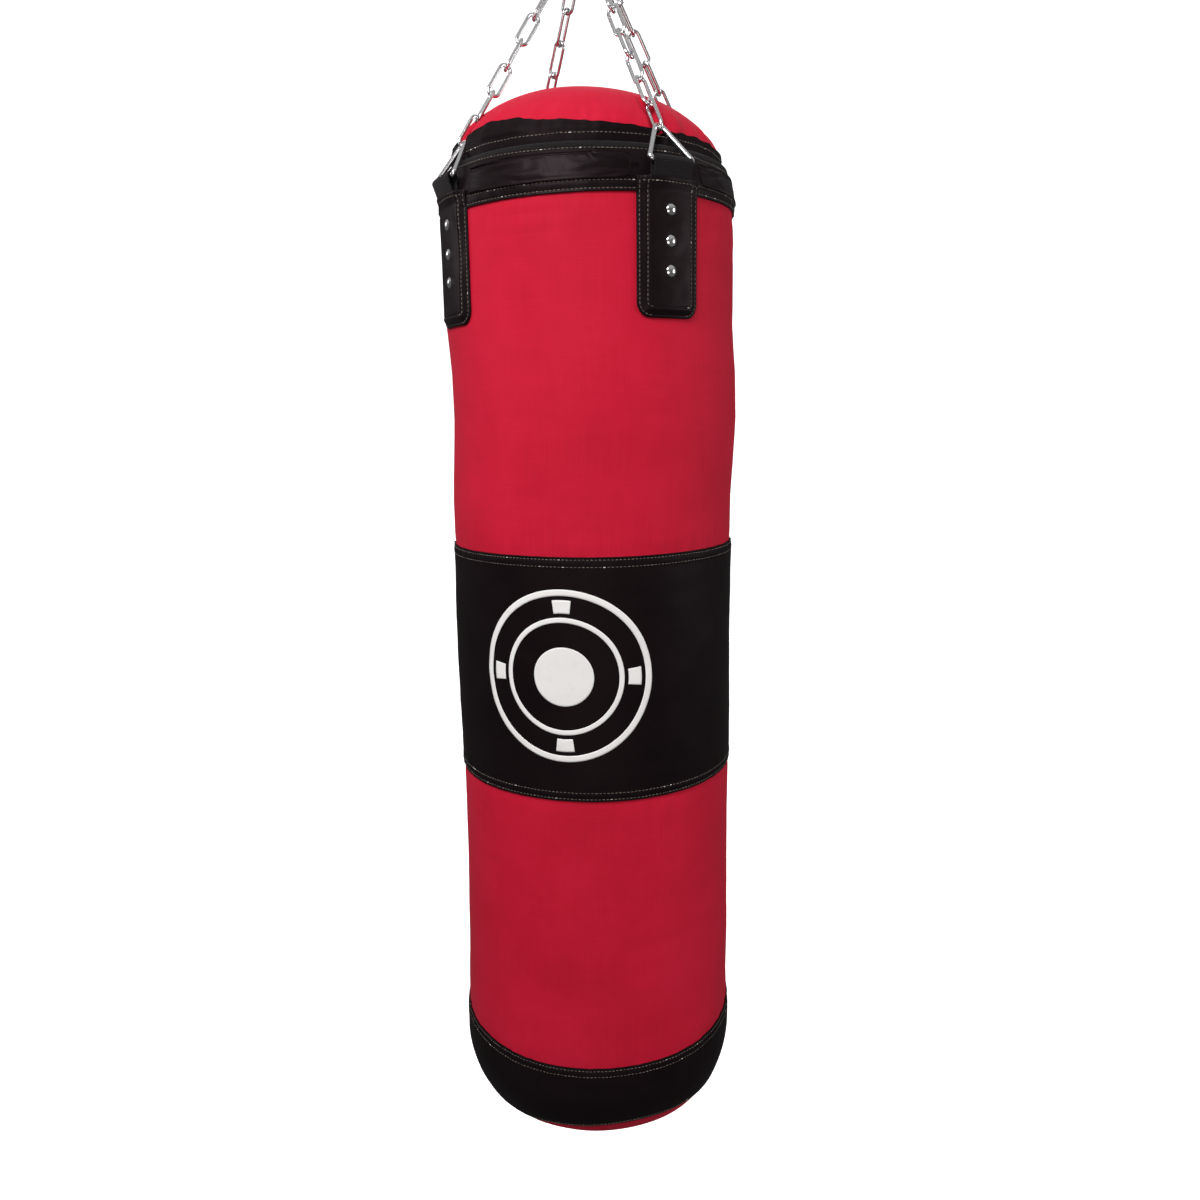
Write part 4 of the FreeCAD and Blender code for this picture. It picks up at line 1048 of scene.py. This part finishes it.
def make_camera():
    data = bpy.data.cameras.new("camera")
    data.lens, data.sensor_width = LENS, 36.0
    camera = bpy.data.objects.new("camera", data)
    bpy.context.scene.collection.objects.link(camera)
    bearing, pitch = math.radians(CAMERA_BEARING), math.radians(CAMERA_PITCH)
    away = Vector((math.sin(bearing), -math.cos(bearing), 0))
    side = Vector((math.cos(bearing), math.sin(bearing), 0))
    camera.location = away * CAMERA_DISTANCE + side * CAMERA_SIDESTEP
    camera.location.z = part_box("band_middle")[1].z + CAMERA_RISE
    turn = Matrix.Rotation(bearing - math.radians(CAMERA_YAW), 4, "Z")
    tilt = Matrix.Rotation(math.pi / 2 - pitch, 4, "X")
    roll = Matrix.Rotation(math.radians(CAMERA_ROLL), 4, "Z")
    place = Matrix.Translation(camera.location)
    camera.matrix_world = place @ turn @ tilt @ roll
    bpy.context.scene.camera = camera


def make_light(name, bearing, elevation, distance, size, power, color, aim_z):
    data = bpy.data.lights.new(name, "AREA")
    data.shape, data.size, data.energy, data.color = "DISK", size, power, color
    lamp = bpy.data.objects.new(name, data)
    bpy.context.scene.collection.objects.link(lamp)
    b, e = math.radians(CAMERA_BEARING + bearing), math.radians(elevation)
    way = Vector((math.sin(b) * math.cos(e), -math.cos(b) * math.cos(e), math.sin(e)))
    lamp.location = Vector((0, 0, aim_z)) + way * distance
    lamp.rotation_euler = (-way).to_track_quat("-Z", "Y").to_euler()


def make_floor():
    """A pale floor that sweeps up behind the bag."""
    floor_z = BASE_Z - 0.42
    back, curve, height, width = 2.6, 1.2, 3.6, 9.0
    path = [(-7.0, 0.0), (back - curve, 0.0)]
    path += [(back - curve + curve * math.sin(a), curve * (1 - math.cos(a)))
             for a in np.linspace(0.1, math.pi / 2, 16)]
    path.append((back, height))
    bearing = math.radians(CAMERA_BEARING)
    rows = np.array(path)
    across = np.linspace(-width, width, 5)
    x = across[:, None] * math.cos(bearing) - rows[None, :, 0] * math.sin(bearing)
    y = across[:, None] * math.sin(bearing) + rows[None, :, 0] * math.cos(bearing)
    points = np.stack([x, y, floor_z + rows[None, :, 1] + 0 * x], -1)
    floor = grid("floor", points, across, rows[:, 0])
    made = Shader("backdrop", Roughness=0.9, Base_Color=(0.9, 0.9, 0.9, 1), Specular_IOR_Level=0.1,
                  Emission_Color=(1, 1, 1, 1), Emission_Strength=0.95)
    floor.data.materials.append(made.material)
    floor.visible_glossy = False
    floor.visible_diffuse = False


# bearing from the camera, elevation, distance, size, power, color and height aimed at
LIGHTS = {
    "key": (-24, 30, 1.75, 0.9, 27, (1.0, 0.975, 0.97), -0.42),
    "low": (-5, -6, 2.0, 1.2, 7, (1.0, 0.94, 0.90), -1.1),
    "fill": (80, 8, 2.2, 1.2, 14.5, (1.0, 0.96, 0.95), -0.8),
    "side": (-95, 12, 1.6, 0.8, 4, (1.0, 0.98, 0.98), -0.45),
    "back": (180, 34, 2.2, 1.4, 12, (1.0, 0.98, 1.0), -0.7),
}


def make_world():
    """White to the camera, and to everything else a dim room that is brighter overhead."""
    world = bpy.data.worlds.new("studio")
    world.use_nodes = True
    tree = world.node_tree
    room = tree.nodes["Background"]
    room.inputs[0].default_value = (1.0, 0.98, 0.97, 1.0)
    way = tree.nodes.new("ShaderNodeSeparateXYZ")
    tree.links.new(tree.nodes.new("ShaderNodeTexCoord").outputs["Generated"], way.inputs[0])
    ceiling = tree.nodes.new("ShaderNodeMapRange")
    ceiling.interpolation_type = "SMOOTHSTEP"
    for socket, value in (("From Min", 0.15), ("From Max", 0.75), ("To Min", 0.13), ("To Max", 0.42)):
        ceiling.inputs[socket].default_value = value
    tree.links.new(way.outputs["Z"], ceiling.inputs["Value"])
    tree.links.new(ceiling.outputs[0], room.inputs[1])
    seen = tree.nodes.new("ShaderNodeBackground")
    seen.inputs[0].default_value = (1.0, 1.0, 1.0, 1.0)
    seen.inputs[1].default_value = 1.0
    ray = tree.nodes.new("ShaderNodeLightPath")
    mix = tree.nodes.new("ShaderNodeMixShader")
    tree.links.new(ray.outputs["Is Camera Ray"], mix.inputs[0])
    tree.links.new(room.outputs[0], mix.inputs[1])
    tree.links.new(seen.outputs[0], mix.inputs[2])
    tree.links.new(mix.outputs[0], tree.nodes["World Output"].inputs[0])
    bpy.context.scene.world = world


# ---- build ----
middle = Band("band_middle", MIDDLE_BAND, "matte_leather", wander(38, 0.7 * MM), wander(39, 0.7 * MM),
              (True, True), ("band_middle",))
bottom = Band("band_bottom", BOTTOM_BAND, "matte_leather", foot_edge, wander(40, 0.7 * MM),
              (False, True), ("band_bottom",))

make_camera()
make_floor()
for light, settings in LIGHTS.items():
    make_light(light, *settings)
make_world()
bpy.context.scene.view_settings.view_transform = "Standard"
make_canvas()
make_bands()
make_lid()
make_skirt()
make_zip()
for strap, bearing in STRAPS.items():
    make_tab(strap, bearing)
    make_webbing(strap, bearing)
make_print()
make_liner()
dress_frame()
